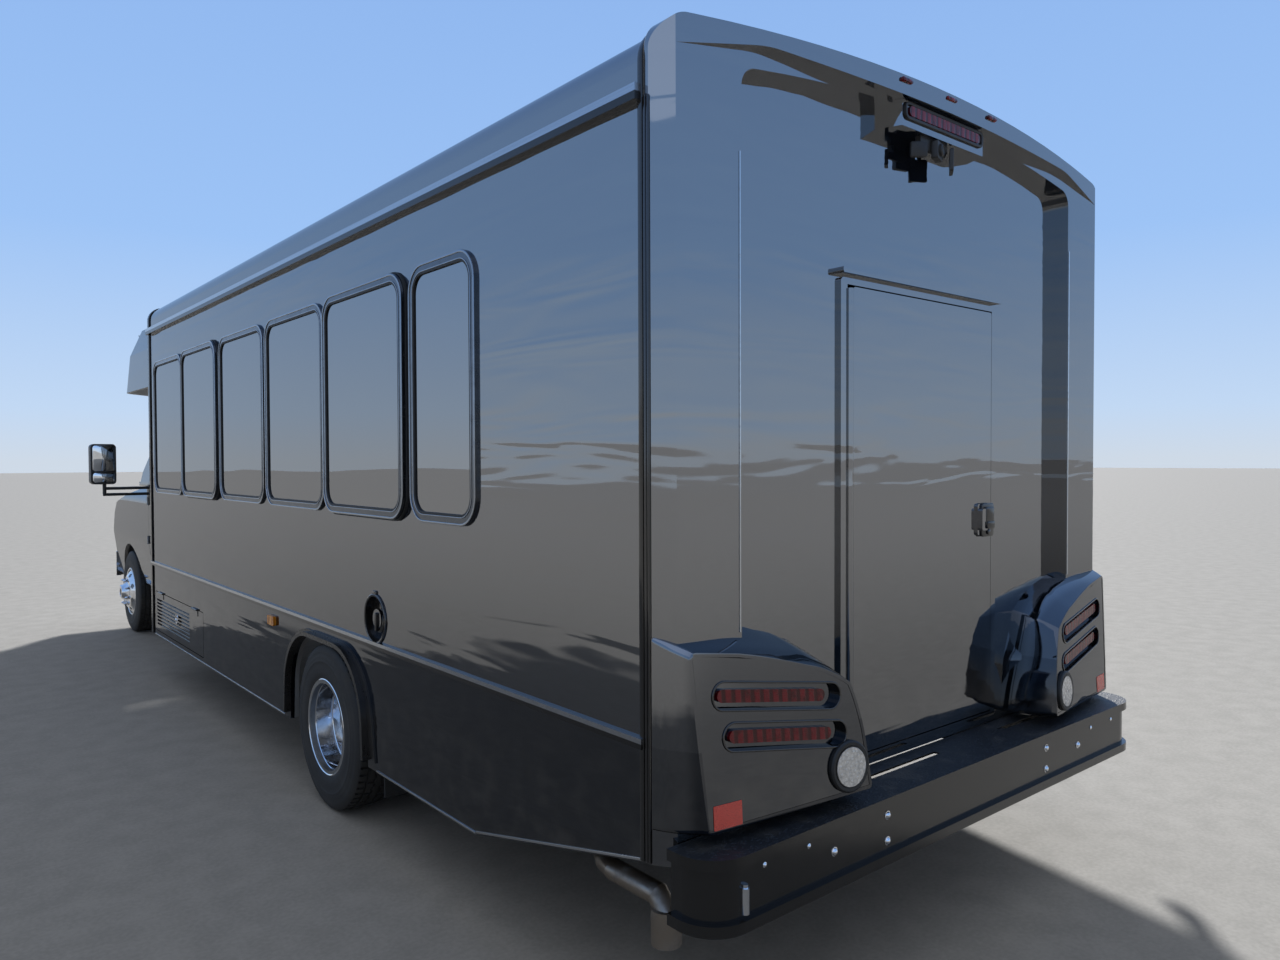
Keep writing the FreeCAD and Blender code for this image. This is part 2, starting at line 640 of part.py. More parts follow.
# Drip rails and belt mouldings
mouldings = Piece("body_mouldings")
for side in (1, -1):
    drip = sided(side, half_width, half_width + S.drip_proud)
    low = S.eave_height - S.drip_width / 2
    mouldings.pad(ACROSS, [box_loop(box_front + 8, post_front - 8, low, low + S.drip_width)], *drip)
    belt = sided(side, half_width, half_width + S.belt_proud)
    low = S.belt_height - S.belt_width / 2
    if side > 0:
        runs = [(box_front + 8, post_front - 6)]
    else:
        runs = [(well[1] + 30, post_front - 6)]
    for start, end in runs:
        mouldings.pad(ACROSS, [box_loop(start, end, low, low + S.belt_width)], *belt)



def flare_loop(width, foot):
    """A band round the rear arch, wider at its feet."""
    inner = arch_loop(0)
    outer = arch_loop(width)
    end = S.arch_half - 6
    return [(rear_axle - end - foot, S.flare_low), outer[1], outer[2], (rear_axle + end + foot, S.flare_low),
            (rear_axle + end, S.flare_low), inner[2], inner[1], (rear_axle - end, S.flare_low)]


flares = Piece("wheel_flares")
flaps = Piece("mud_flaps")
for side in (1, -1):
    flares.pad(ACROSS, [flare_loop(S.flare_width, S.flare_foot)],
               *sided(side, half_width, half_width + S.flare_sheet))
    flares.pad(ACROSS, [flare_loop(S.flare_lip, S.flare_lip)],
               *sided(side, half_width, half_width + S.flare_reach))
    start = rear_axle + S.arch_half + 60
    flaps.pad(ALONG, [box_loop(*sided(side, 760, inner_half - S.seat_gap), 190, 640)], start, start + 8)

# Rear door, hung on the driver's side of its opening
hinge_x = S.back_door_half - S.back_hinge - S.seat_gap
hinge_y = rear_wall + S.back_hinge
door = Piece("rear_door")
door_edge = hinge_x - S.back_hinge - S.door_gap
door.pad(ALONG, [box_loop(-S.back_door_half + S.door_gap, door_edge, S.back_door_low + S.door_gap,
                          S.back_door_high - S.door_gap, 8)],
         rear_wall + 14 - S.back_door_thick, rear_wall + 14)
door.pad(PLAN, [{"at": (hinge_x, hinge_y), "radius": S.back_hinge}],
         S.back_door_low + 12, S.back_door_high - 12)
door.pad(PLAN, [[(door_edge - 5, hinge_y - 10), (hinge_x, hinge_y - 4), (hinge_x, hinge_y + 4),
                 (door_edge - 5, hinge_y + 2)]], S.back_door_low + 12, S.back_door_high - 12)
handle = (-S.back_door_half + 40, -S.back_door_half + 108)
door.pad(ALONG, [box_loop(*handle, 1290, 1405, 10)], rear_wall + 13, rear_wall + 22)
door.pad(ALONG, [box_loop(handle[0] + 22, handle[1] - 8, 1308, 1387, 8)], rear_wall + 21, rear_wall + 36)

# Louvred locker door, hung at its top edge
locker = Piece("compartment_door")
gap = S.door_gap
locker_span = (rear - S.locker_front + gap, rear - S.locker_rear - gap)
locker_hinge = (half_width + S.locker_hinge + S.seat_gap, S.locker_high - 2)
locker.pad(ACROSS, [box_loop(*locker_span, S.locker_low + gap, S.locker_high - gap, 10)],
           half_width - 24, half_width)
louvre_pitch = (S.locker_high - S.locker_low - 90) / S.louvre_count
for index in range(int(number(S.louvre_count))):
    low = S.locker_low + 45 + louvre_pitch * index
    locker.cut(ALONG, [[(half_width - 16, low), (half_width + 1, low + 3), (half_width + 1, low + louvre_pitch * 0.72),
                        (half_width - 16, low + louvre_pitch * 0.40)]],
               locker_span[0] + 40, locker_span[1] - 330)
for start in (locker_span[0] + 120, locker_span[1] - 240):
    locker.pad(ALONG, [{"at": locker_hinge, "radius": S.locker_hinge}], start, start + 120)
    locker.pad(ALONG, [box_loop(half_width - 1, half_width + 3, locker_hinge[1] - 40, locker_hinge[1] - 2)],
               start, start + 120)

# Entry door: two leaves, each hung on its outer edge
half_entry = S.entry_width / 2
middle = rear - S.entry_station
ENTRY = [("entry_leaf_front", "entry_glass_front", -1), ("entry_leaf_rear", "entry_glass_rear", 1)]
entry_skin = (-half_width - 2, -half_width - 2 + S.leaf_thick)
for leaf_name, glass_name, way in ENTRY:
    ends = sorted((middle + (half_entry - gap) * way, middle + 3 * way), key=number)
    leaf = Piece(leaf_name)
    leaf.pad(ACROSS, [box_loop(*ends, S.entry_low, S.entry_high - gap, 27),
                      box_loop(ends[0] + S.leaf_stile, ends[1] - S.leaf_stile, S.entry_low + 150,
                               S.entry_high - gap - S.leaf_stile, 40)], *entry_skin)
    barrel = (-half_width - S.leaf_hinge - S.seat_gap, middle + half_entry * way)
    for low in (560, 1280, 2000):
        leaf.pad(PLAN, [{"at": barrel, "radius": S.leaf_hinge}], low, low + 110)
        strap = sorted((barrel[1] - 2 * way, barrel[1] - (gap + 40) * way), key=number)
        leaf.pad(PLAN, [box_loop(-half_width - 5, -half_width - 1, *strap)], low, low + 110)
    pane = Piece(glass_name)
    inset = S.leaf_stile + S.seat_gap
    pane.pad(ACROSS, [box_loop(ends[0] + inset, ends[1] - inset, S.entry_low + 150 + S.seat_gap,
                               S.entry_high - gap - inset, 40)],
             entry_skin[0] + 12, entry_skin[0] + 12 + S.glass_thick)

# Lamps at the rear
red = Piece("red_lamps")
white = Piece("reverse_lamps")
amber = Piece("amber_lamps")
for side in (1, -1):
    reverse = on_pod(side, S.reverse_x, S.reverse_z)
    white.pad(reverse, [{"at": (0, 0), "radius": S.reverse_radius}], S.seat_gap, 6)
    white.pad(reverse, [{"at": (0, 0), "radius": S.reverse_radius - 13}], 5, 13)
    for pocket_x, pocket_z, pocket_long, lens_x, lens_long in TAIL_LAMPS:
        lens_z = pocket_z + (lens_x - pocket_x) * math.tan(SLOT_TIP)
        red.pad(on_pod(side, lens_x, lens_z, SLOT_TIP), [slot(lens_long, S.lens_tall)],
                -S.pocket_deep + S.seat_gap, -S.pocket_deep + S.lens_deep)
    amber.pad(ACROSS, [box_loop(rear - 3127, rear - 3034, 736, 784, 10)],
              *sided(side, half_width + S.seat_gap, half_width + 14))
red.pad(ALONG, [box_loop(-210, 210, 2660, 2692, 15)], rear - 25 + S.seat_gap, rear - 17)

# Rear bumper: plate and two tubes round the corners, tread plate with slots, brackets
bumper = Piece("rear_bumper")
tube = S.bumper_tube
plate_out = rear + S.bumper_reach - tube
wrap = post_face + 3
bracket_top = S.bumper_top - 5


def bumper_path(inset):
    half = S.bumper_half - inset
    back = plate_out - inset
    return [(-half, wrap), (-half, back, S.bumper_corner - inset), (half, back, S.bumper_corner - inset), (half, wrap)]


outer, inner = bumper_path(0), bumper_path(S.bumper_sheet)
bumper.pad(PLAN, [outer + [inner[3], inner[2], inner[1], inner[0]]], S.bumper_low, S.bumper_top)
inner_tube, outer_tube = bumper_path(tube), bumper_path(-tube)
ring = outer_tube + [inner_tube[3], inner_tube[2], inner_tube[1], inner_tube[0]]
bumper.pad(PLAN, [ring], S.bumper_low - tube, S.bumper_low + tube)
bumper.pad(PLAN, [ring], S.bumper_top - tube * 2, S.bumper_top)
bumper.pad(PLAN, [[(-S.bumper_half + 4, wrap), (-S.recess_half + 5, wrap), (-S.recess_half + 5, rear_wall + 3),
                   (S.recess_half - 5, rear_wall + 3), (S.recess_half - 5, wrap), (S.bumper_half - 4, wrap),
                   (S.bumper_half - 4, plate_out - 3, S.bumper_corner - 3),
                   (-S.bumper_half + 4, plate_out - 3, S.bumper_corner - 3)]], S.bumper_top - 6, S.bumper_top)
# Slots in the tread that let the light through
for start, end in ((20, 400), (-760, -380)):
    bumper.cut(PLAN, [box_loop(start, end, rear - 42, rear - 20, 8)], S.bumper_top - 7, S.bumper_top + 1)
for side in (1, -1):
    arm = sided(side, S.rail_half - 40, S.rail_half - S.rail_sheet - S.seat_gap)
    bumper.pad(ACROSS, [box_loop(rear - 280, plate_out - 3, S.rail_low + S.rail_sheet + S.seat_gap, bracket_top)], *arm)

# Chassis: two channel rails and tubular cross members
chassis = Piece("chassis_frame")
rail_front = front_axle - 560
rail_rear = post_front - 15
for side in (1, -1):
    out, web = S.rail_half, S.rail_half - S.rail_sheet
    lip = S.rail_half - S.rail_flange
    channel = [(out, S.rail_low), (out, S.rail_high), (lip, S.rail_high), (lip, S.rail_high - S.rail_sheet),
               (web, S.rail_high - S.rail_sheet), (web, S.rail_low + S.rail_sheet), (lip, S.rail_low + S.rail_sheet),
               (lip, S.rail_low)]
    chassis.pad(ALONG, [mirrored(side, channel)], rail_front, rail_rear)
rail_middle = (S.rail_low + S.rail_high) / 2
CROSS = [rail_front + 60, front_axle + 2300, front_axle + 3400, rear_axle - 900, rear_axle + 760, rear - 330]
for station in CROSS:
    chassis.pad(ACROSS, [{"at": (station, rail_middle), "radius": 38}], -S.rail_half + 3, S.rail_half - 3)
# Cradles that carry the engine and the gearbox: station, top of the cradle
for station, high in ((front_axle + 130, S.engine_low), (front_axle + 1300, S.gearbox_low)):
    lip = S.rail_half - S.rail_flange + 5
    chassis.pad(ALONG, [[(-lip, S.rail_low + 4), (-lip - 12, S.rail_low + 4), (-lip - 12, high - 44),
                         (lip + 12, high - 44), (lip + 12, S.rail_low + 4), (lip, S.rail_low + 4), (lip, high), (-lip, high)]]
                if number(high) < number(S.rail_low) else [box_loop(-lip - 12, lip + 12, high - 44, high)],
                station, station + 70)

# Rear axle: banjo housing, drums and the two leaf springs
axle = Piece("rear_axle", y=rear_axle, z=S.tyre_radius)
twin_half = S.rear_track / 2
hub_gap = 10 + S.seat_gap
HOUSING = [(twin_half - hub_gap, 0), (twin_half - hub_gap, 60), (twin_half - 47, 60), (twin_half - 47, 165),
           (twin_half - 150, 165), (twin_half - 150, 55), (240, 55), (110, 155)]
axle.turn([[(-x, radius) for x, radius in HOUSING] + list(reversed(HOUSING))])
spring_inner, spring_outer = 520, 595
for side in (1, -1):
    axle.pad(ACROSS, [[(-700, 150), (-430, 110), (-250, 64), (250, 64), (430, 110), (700, 150), (700, 162),
                       (0, 94, 2800), (-700, 162)]], *sided(side, spring_inner, spring_outer))
    axle.pad(ACROSS, [box_loop(-75, 75, -60, 66)], *sided(side, spring_inner, spring_outer))
for side in (1, -1):
    for end in (-690, 690):
        chassis.pad(ACROSS, [box_loop(rear_axle + end - 35, rear_axle + end + 35, S.tyre_radius + 162,
                                      S.rail_high - 20)], *sided(side, S.rail_half - 2, spring_outer))

shaft = Piece("drive_shaft")
shaft_front = front_axle + 1750
shaft.pad(ALONG, [{"at": (0, S.tyre_radius + 80), "radius": 42}], shaft_front, rear_axle - 400)
shaft.pad(ALONG, [{"at": (0, S.tyre_radius + 80), "radius": 58}], rear_axle - 400, rear_axle - 330)
shaft.pad(ACROSS, [[(rear_axle - 331, S.tyre_radius + 110), (rear_axle - 331, S.tyre_radius + 40),
                    (rear_axle - 170, S.tyre_radius - 30), (rear_axle - 170, S.tyre_radius + 40)]], -35, 35)

tank = Piece("fuel_tank")
tank.pad(ALONG, [box_loop(-355, 205, 310, 620, 60)], rear_axle + 300, rear_axle + 710)
for station in (rear_axle + 360, rear_axle + 600):
    chassis.pad(ALONG, [box_loop(-S.rail_half + 3, S.rail_half - 3, 620, 632)], station, station + 50)

engine = Piece("engine_block")
engine.pad(ALONG, [box_loop(-268, 268, S.engine_low, 1080, 40)], front_axle - 260, front_axle + 480)
engine.pad(ALONG, [box_loop(-150, 150, S.gearbox_low, 640, 60)], front_axle + 470, shaft_front)

# Exhaust, from the engine past the silencer and over the axle to the turned-down tail


def spot(x, y, z):
    return FreeCAD.Vector(number(x), number(y), number(z))


def bent_tube(points, radius, bend):
    """A tube along straight runs, each corner cut by one short run."""
    corners = [points[0]]
    for before, here, after in zip(points, points[1:], points[2:]):
        corners += [here + (before - here).normalize() * bend, here + (after - here).normalize() * bend]
    path = Part.makePolygon(corners + [points[-1]])
    ring = Part.Wire(Part.makeCircle(radius, points[0], points[1] - points[0]))
    return path.makePipeShell([ring], True, True, 1)


pipe_x, tail_x, tail_ahead = 303, 1080, 210
pipe_z, over = S.pipe_height, S.pipe_over_axle
route = [spot(pipe_x, front_axle + 320, S.engine_low + 60), spot(pipe_x, front_axle + 620, pipe_z),
         spot(pipe_x, rear_axle - 620, pipe_z), spot(pipe_x, rear_axle - 330, over), spot(pipe_x, rear_axle + 330, over),
         spot(pipe_x, rear_axle + 640, pipe_z), spot(tail_x, rear - 480, pipe_z),
         spot(tail_x, rear - tail_ahead, pipe_z), spot(tail_x, rear - tail_ahead, 235)]
pipe = doc.addObject("Part::Feature", "exhaust")
pipe.Label = "exhaust"
silencer = Part.makeCylinder(number(S.muffler_radius), 620, spot(pipe_x, rear_axle - 1700, pipe_z),
                             FreeCAD.Vector(0, 1, 0))
mouth = Part.makeCylinder(number(S.tail_radius), 100, spot(tail_x, rear - tail_ahead, 225), FreeCAD.Vector(0, 0, 1))
pipe.Shape = bent_tube(route, number(S.pipe_radius), 36).fuse([silencer, mouth]).removeSplitter()
pipe.Placement = FreeCAD.Placement()
PIECES.append(pipe)
for station in (rear_axle - 1900, rear_axle + 700):
    chassis.pad(ALONG, [box_loop(pipe_x - 20, S.rail_half - 10, pipe_z + S.pipe_radius + S.seat_gap, S.rail_low + 3)],
                station, station + 30)

# Front axle beam and the knuckles that turn on its pins
beam = Piece("front_axle", y=front_axle, z=S.tyre_radius)
pin_half = S.kingpin_half
beam.pad(ALONG, [[(-pin_half + 45, 60), (-pin_half + 45, -60), (-520, -100, 60), (520, -100, 60), (pin_half - 45, -60),
                  (pin_half - 45, 60), (480, -25, 60), (-480, -25, 60)]], -35, 35)
# Coil springs stand on the beam beside the rails, in towers on the rails' outside
coil_radius, tower_low, tower_high = 42, 610, 655
coil_x = S.rail_half + coil_radius + 8
for side in (1, -1):
    beam.pad(PLAN, [{"at": (side * pin_half, 0), "radius": 28}], -22, 22)
    beam.pad(PLAN, [box_loop(*sided(side, pin_half - 90, pin_half), -26, 26)], -22, 22)
    beam.pad(PLAN, [{"at": (side * coil_x, 0), "radius": coil_radius}], -40, tower_low - S.seat_gap - S.tyre_radius)
    chassis.pad(PLAN, [box_loop(*sided(side, S.rail_half - 2, coil_x + coil_radius + 8), front_axle - 55,
                                front_axle + 55)], tower_low, tower_high)
hub_disc = 122
hub_long = S.front_track / 2 + hub_disc - S.seat_gap - pin_half
for side, name in ((1, "knuckle_left"), (-1, "knuckle_right")):
    knuckle = Piece(name, x=side * pin_half, y=front_axle, z=S.tyre_radius)
    for low, high in ((22 + S.seat_gap, 75), (-75, -22 - S.seat_gap)):
        knuckle.pad(PLAN, [{"at": (0, 0), "radius": 28}], low, high)
        knuckle.pad(PLAN, [box_loop(*sided(side, 0, 62), -26, 26)], low, high)
    knuckle.pad(ALONG, [box_loop(*sided(side, 40, 62), -75, 75)], -40, 40)
    knuckle.pad(ACROSS, [{"at": (0, 0), "radius": 30}], *sided(side, 60, hub_long))
    knuckle.pad(ACROSS, [box_loop(40, 190, -68, -44, 8)], *sided(side, 38, 58))

# Wheels. The sections are drawn from the middle of the tyre outwards.
RIM = S.rim_radius
half_tyre = S.tyre_width / 2


def tyre_section(middle):
    """Half section of a tyre about its middle."""
    left, right = middle - half_tyre, middle + half_tyre
    bead, shoulder = RIM + S.seat_gap, S.tyre_radius - 34
    return [(left + 22, bead), (left, bead + 62), (left + 6, shoulder), (left + 26, S.tyre_radius),
            (right - 26, S.tyre_radius), (right - 6, shoulder), (right, bead + 62), (right - 22, bead)]


def front_wheel(side):
    """Half section of a front wheel: hub cover, disc and rim in one."""
    far, near = half_tyre - 8, 8 - half_tyre
    sheet = S.rim_sheet
    section = [(186, 0), (186, 50), (172, 62), (136, 88), (132, 140), (92, RIM - sheet), (far, RIM - sheet),
               (far, RIM + 14), (far - sheet, RIM + 14), (far - sheet, RIM), (near + sheet, RIM),
               (near, RIM + 14), (near, RIM - sheet), (80, RIM - sheet), (118, 135),
               (hub_disc, 40), (hub_disc, 0)]
    return [(side * x, radius) for x, radius in section]


def twin_wheels(side):
    """Half section of two rims bolted disc to disc, with the hub that stands out of the outer one."""
    far, near = S.twin_spacing / 2 + half_tyre - 8, S.twin_spacing / 2 - half_tyre + 8
    sheet = S.rim_sheet
    inner = [(-near, RIM - sheet), (-far, RIM - sheet), (-far, RIM + 14), (-far + sheet, RIM + 14),
             (-far + sheet, RIM), (-near + sheet, RIM)]
    outer = [(near - sheet, RIM), (far - sheet, RIM), (far - sheet, RIM + 14), (far, RIM + 14),
             (far, RIM - sheet), (near, RIM - sheet)]
    middle = [(14, 118), (14, 84), (70, 84), (112, 60), (125, 50), (125, 0)]
    section = [(-10, 0), (-10, 118)] + inner + [(0, 126)] + outer + middle
    return [(side * x, radius) for x, radius in section]


for side, place in ((1, "left"), (-1, "right")):
    track = S.front_track / 2 * side
    piece = Piece("wheel_front_" + place, x=track, y=front_axle, z=S.tyre_radius)
    piece.turn([front_wheel(side)])
    tyre = Piece("tyre_front_" + place, x=track, y=front_axle, z=S.tyre_radius)
    tyre.turn([tyre_section(0)])
    track = S.rear_track / 2 * side
    piece = Piece("wheels_rear_" + place, x=track, y=rear_axle, z=S.tyre_radius)
    piece.turn([twin_wheels(side)])
    tyre = Piece("tyres_rear_" + place, x=track, y=rear_axle, z=S.tyre_radius)
    for way in (1, -1):
        tyre.turn([tyre_section(way * S.twin_spacing / 2)])

# The van's cab
door_front = front_axle + S.cab_door_front
door_rear = front_axle + S.cab_door_rear


def cab_outline(inset):
    """Cross-section of the cab, from sill to roof, drawn in by the inset."""
    right = [(960 - inset, 450 + inset, 60), (cab_half - inset, 900, 400), (cab_half - 4 - inset, S.cab_belt, 160),
             (845 - inset, S.cab_roof_height - inset, 130)]
    return right + [(-point[0],) + point[1:] for point in reversed(right)]


def side_skin(side, outer, inner):
    """One side of the cab's section between two insets, from sill to roof's edge."""
    first, second = cab_outline(outer)[:4], cab_outline(inner)[:4]
    first = first[:3] + [(first[3][0], first[3][1] - 20)]
    second = second[:3] + [(second[3][0], second[3][1] - 20)]
    first = [(first[0][0], first[0][1] + 40)] + first[1:]
    second = [(second[0][0], first[0][1])] + second[1:]
    return mirrored(side, first + list(reversed(second)))


def door_loop(inset):
    return [(door_rear - inset, S.cab_door_low + inset, 60), (door_rear - inset, 2030 - inset, 60),
            (door_front + 330 + inset, 2030 - inset, 60), (door_front + inset, S.cab_belt + 10, 30),
            (door_front + inset, S.cab_door_low + inset, 60)]


def glass_loop(inset):
    return [(door_rear - 95 - inset, S.cab_belt + inset, 40), (door_rear - 95 - inset, 1960 - inset, 60),
            (door_front + 365 + inset, 1960 - inset, 40), (door_front + 110 + inset, S.cab_belt + inset, 40)]


cab = Piece("cab_shell")
cab.pad(ALONG, [cab_outline(0)], cowl, box_front)
cab.cut(ALONG, [cab_outline(S.cab_wall)], cowl + S.cab_wall, box_front + 1)
wind_low, wind_high = (cowl - 20, S.hood_high), (cowl + 540, S.cab_roof_height - 60)
cab.cut(ACROSS, [[(wind_low[0] - 200, wind_low[1]), wind_low, wind_high, (wind_high[0] + 40, S.cab_roof_height + 60),
                  (wind_low[0] - 200, S.cab_roof_height + 60)]], -cab_half - 1, cab_half + 1)
cab.cut(ACROSS, [door_loop(0)], -cab_half - 1, cab_half + 1)
cab.cut(ALONG, [box_loop(-800, 800, 400, S.cab_floor - 40)], cowl - 1, box_front + 1)
cab.pad(ALONG, [box_loop(-cab_half + 80, cab_half - 80, S.cab_floor - 40, S.cab_floor)], cowl, box_front)
for side in (1, -1):
    cab.pad(ALONG, [box_loop(*sided(side, 850, cab_half - 102), 460, S.cab_floor - 35)], cowl, box_front)
cab.cut(ALONG, [box_loop(-cab_half, cab_half, S.hood_high - 5, S.hood_high + 100)], cowl - 1, cowl + S.cab_wall + 1)
for side in (1, -1):
    cab.cut(ALONG, [box_loop(*sided(side, cab_half - 100, cab_half + 5), S.nose_low - 60, S.hood_high - 40)],
            cowl - 1, door_front - 60)
    cab.cut(ALONG, [box_loop(*sided(side, 750, cab_half - 99), S.hood_high - 120, S.hood_high - 40)],
            cowl - 1, cowl + S.cab_wall + 1)
cab.cut(ACROSS, [{"at": (front_axle, S.tyre_radius), "radius": S.front_arch + 45}], -cab_half - 1, cab_half + 1)

# Front wings with the nose panel, and the hood hinged at the windscreen
wings = Piece("front_wings")
hood_line = [(cowl, S.hood_high), (nose + 70, S.hood_low), (nose, S.hood_low - 90)]


def nose_outline(inset, low):
    right = [(950 - inset, low, 30), (cab_half - inset, 900, 300), (985 - inset, 1260, 120),
             (790 - inset, S.hood_high + 20, 60)]
    return right + [(-point[0],) + point[1:] for point in reversed(right)]


wings.pad(ALONG, [nose_outline(0, S.nose_low)], nose, door_front - 65)
wings.cut(ALONG, [nose_outline(S.cab_wall * 0.7, S.nose_low - 60)], nose + S.cab_wall, door_front - 60)
wings.cut(ACROSS, [[(door_front, S.hood_high - 45), (cowl, S.hood_high - 45), (cowl, S.hood_high),
                    (nose + 75, S.hood_low, 90), (nose - 2, S.hood_low - 110), (nose - 2, 2000), (door_front, 2000)]],
          -cab_half - 1, cab_half + 1)
wings.cut(ACROSS, [[(cowl + 1, S.hood_high - 48), (nose + 70, S.hood_low - 48), (nose - 2, S.hood_low - 128),
                    (nose - 2, 2000), (cowl + 1, 2000)]], -S.hood_half - gap, S.hood_half + gap)
wings.cut(PLAN, [box_loop(-cab_half - 1, cab_half + 1, nose - 1, door_front - 64)], 300, S.nose_low)
wings.cut(ACROSS, [{"at": (front_axle, S.tyre_radius), "radius": S.front_arch}], -cab_half - 1, cab_half + 1)
wings.cut(ALONG, [box_loop(-600, 600, S.nose_low - 10, 700)], nose - 1, nose + S.cab_wall + 1)
wings.cut(ALONG, [box_loop(-560, 560, 760, S.hood_low - 140, 25)], nose - 1, nose + S.cab_wall + 1)
for side in (1, -1):
    wings.cut(ALONG, [box_loop(*sided(side, 590, 900), 800, S.hood_low - 150, 25)], nose - 1, nose + S.cab_wall + 1)

hood = Piece("hood")
hood.pad(ACROSS, [[(cowl - gap, S.hood_high - 42), (cowl - gap, S.hood_high), (nose + 75, S.hood_low, 90),
                   (nose + 3, S.hood_low - 106), (nose + 12, S.hood_low - 112), (nose + 70, S.hood_low - 42, 50)]],
         -S.hood_half, S.hood_half)

windscreen = Piece("windscreen")
lean = math.atan2(number(wind_high[1] - wind_low[1]), number(wind_high[0] - wind_low[0]))
step_y, step_z = 7 * math.sin(lean), 7 * math.cos(lean)
windscreen.pad(ACROSS, [[(wind_low[0] + 20, wind_low[1] + 16), (wind_high[0] - 8, wind_high[1] - 8),
                         (wind_high[0] - 8 + step_y, wind_high[1] - 8 - step_z),
                         (wind_low[0] + 20 + step_y, wind_low[1] + 16 - step_z)]], -cab_half, cab_half)
windscreen.cut(ALONG, [box_loop(-2000, 2000, 0, 3000), cab_outline(S.cab_wall + S.seat_gap)], cowl - 100, box_front)

for side, place in ((1, "left"), (-1, "right")):
    far = [(door_rear + 100, 300), (door_rear + 100, 2300), (door_front - 100, 2300), (door_front - 100, 300)]
    leaf = Piece("cab_door_" + place)
    leaf.pad(ALONG, [side_skin(side, 0, S.cab_wall)], door_front + gap, door_rear - gap)
    leaf.cut(ACROSS, [far, door_loop(gap)], -cab_half - 1, cab_half + 1)
    leaf.cut(ACROSS, [glass_loop(0)], -cab_half - 1, cab_half + 1)
    for low in (870, 1200):
        leaf.pad(PLAN, [{"at": (side * (cab_half + 5), door_front + gap), "radius": S.cab_hinge}], low, low + 70)
    pane = Piece("door_glass_" + place)
    pane.pad(ALONG, [side_skin(side, S.cab_wall * 0.3, S.cab_wall * 0.3 + 6)], door_front + gap, door_rear - gap)
    pane.cut(ACROSS, [far, glass_loop(S.seat_gap)], -cab_half - 1, cab_half + 1)
    mirror = Piece("mirror_" + place)
    station = front_axle + S.mirror_station
    mirror.pad(ALONG, [box_loop(*sided(side, S.mirror_reach - 92, S.mirror_reach + 92), 1385, 1715, 30)],
               station - 45, station + 45)
    for height in (1300, 1350):
        mirror.pad(ACROSS, [{"at": (station + 10, height), "radius": 12}],
                   *sided(side, cab_half - 3, S.mirror_reach))
    mirror.pad(PLAN, [{"at": (side * (S.mirror_reach - 10), station + 10), "radius": 14}], 1300, 1390)
    foot = sided(side, cab_half - 3, cab_half + 8)
    mirror.pad(ACROSS, [box_loop(station - 20, station + 40, 1270, 1375, 12)], *foot)

grille = Piece("grille")
grille_half, grille_low, grille_high = 560 - S.seat_gap, 760 + S.seat_gap, S.hood_low - 140 - S.seat_gap
surround = 30
grille_hole = (surround - 560, 560 - surround, 760 + surround, S.hood_low - 140 - surround)
grille.pad(ALONG, [box_loop(-grille_half, grille_half, grille_low, grille_high, 25), box_loop(*grille_hole)],
           nose - 8, nose + 34)
bars = 5
for index in range(bars):
    height = grille_hole[2] + (grille_hole[3] - grille_hole[2]) * ((index + 1) / (bars + 1))
    grille.pad(ALONG, [box_loop(-535, 535, height - 7, height + 7)], nose, nose + 26)
lamps = Piece("headlamps")
for side in (1, -1):
    lamps.pad(ALONG, [box_loop(*sided(side, 590 + S.seat_gap, 900 - S.seat_gap), 800 + S.seat_gap,
                               S.hood_low - 150 - S.seat_gap, 25)], nose - 6, nose + 40)
front_bumper = Piece("front_bumper")
blade = -half_length + 30
front_bumper.pad(PLAN, [[(-985, nose - gap), (-985, blade, 50), (985, blade, 50), (985, nose - gap),
                         (945, nose - gap), (945, blade + 30), (-945, blade + 30), (-945, nose - gap)]],
                 S.front_bumper_low, S.front_bumper_high)
front_bumper.pad(ACROSS, [[(-half_length, 500), (-half_length, 650), (blade + 5, 690), (blade + 5, 455)]], -900, 900)
for side in (1, -1):
    front_bumper.pad(ACROSS, [box_loop(-half_length + 50, rail_front + 4, S.rail_low + 10, S.rail_high - 10)],
                     *sided(side, S.rail_half - 40, S.rail_half - S.rail_sheet))

dash = Piece("dashboard")
dash.pad(ACROSS, [[(cowl + 45, 1000), (cowl + 45, S.hood_high - 60), (cowl + 200, S.hood_high - 70, 40),
                   (cowl + 330, 1240, 60), (cowl + 250, 1000, 40)]], -840, 840)
wheel_spot = (450, cowl + 470, 1190)
steering = Piece("steering_wheel", x=wheel_spot[0], y=wheel_spot[1], z=wheel_spot[2])
steering.body.Placement.Rotation = FreeCAD.Rotation(FreeCAD.Vector(1, 0, 0), -60)
steering.turn([[(172, 0), (185, -12), (198, 0), (185, 12)]], axis="V_Axis", plane=ALONG)
steering.pad(PLAN, [{"at": (0, 0), "radius": 22}], -198, 5)
steering.pad(PLAN, [box_loop(-178, 178, -14, 14)], -6, 4)

seats = Piece("seats")


def seat(x_low, x_high, back, base, high):
    """One seat: pedestal, cushion and back rest."""
    cushion = base + high
    seats.pad(ACROSS, [[(back - 100, base), (back - 100, cushion - 30), (back + 20, cushion + 20),
                        (back + 130, cushion + 640), (back + 60, cushion + 660), (back - 60, cushion + 110),
                        (back - 470, cushion + 110), (back - 490, cushion - 10), (back - 360, cushion - 10),
                        (back - 360, base)]], x_low, x_high)


# Rows of the saloon: first back rest ahead of the corner posts, spacing
row_start, row_pitch, aisle = 560, 760, 260
for row in range(6):
    back = rear - row_start - row_pitch * row
    seat(aisle, 1120, back, S.floor_height, 330)
    if number(back) - 520 > number(well[1]):
        seat(-1120, -aisle, back, S.floor_height, 330)
for side in (1, -1):
    seat(side * 450 - 250, side * 450 + 250, box_front - 190, S.cab_floor, 330)

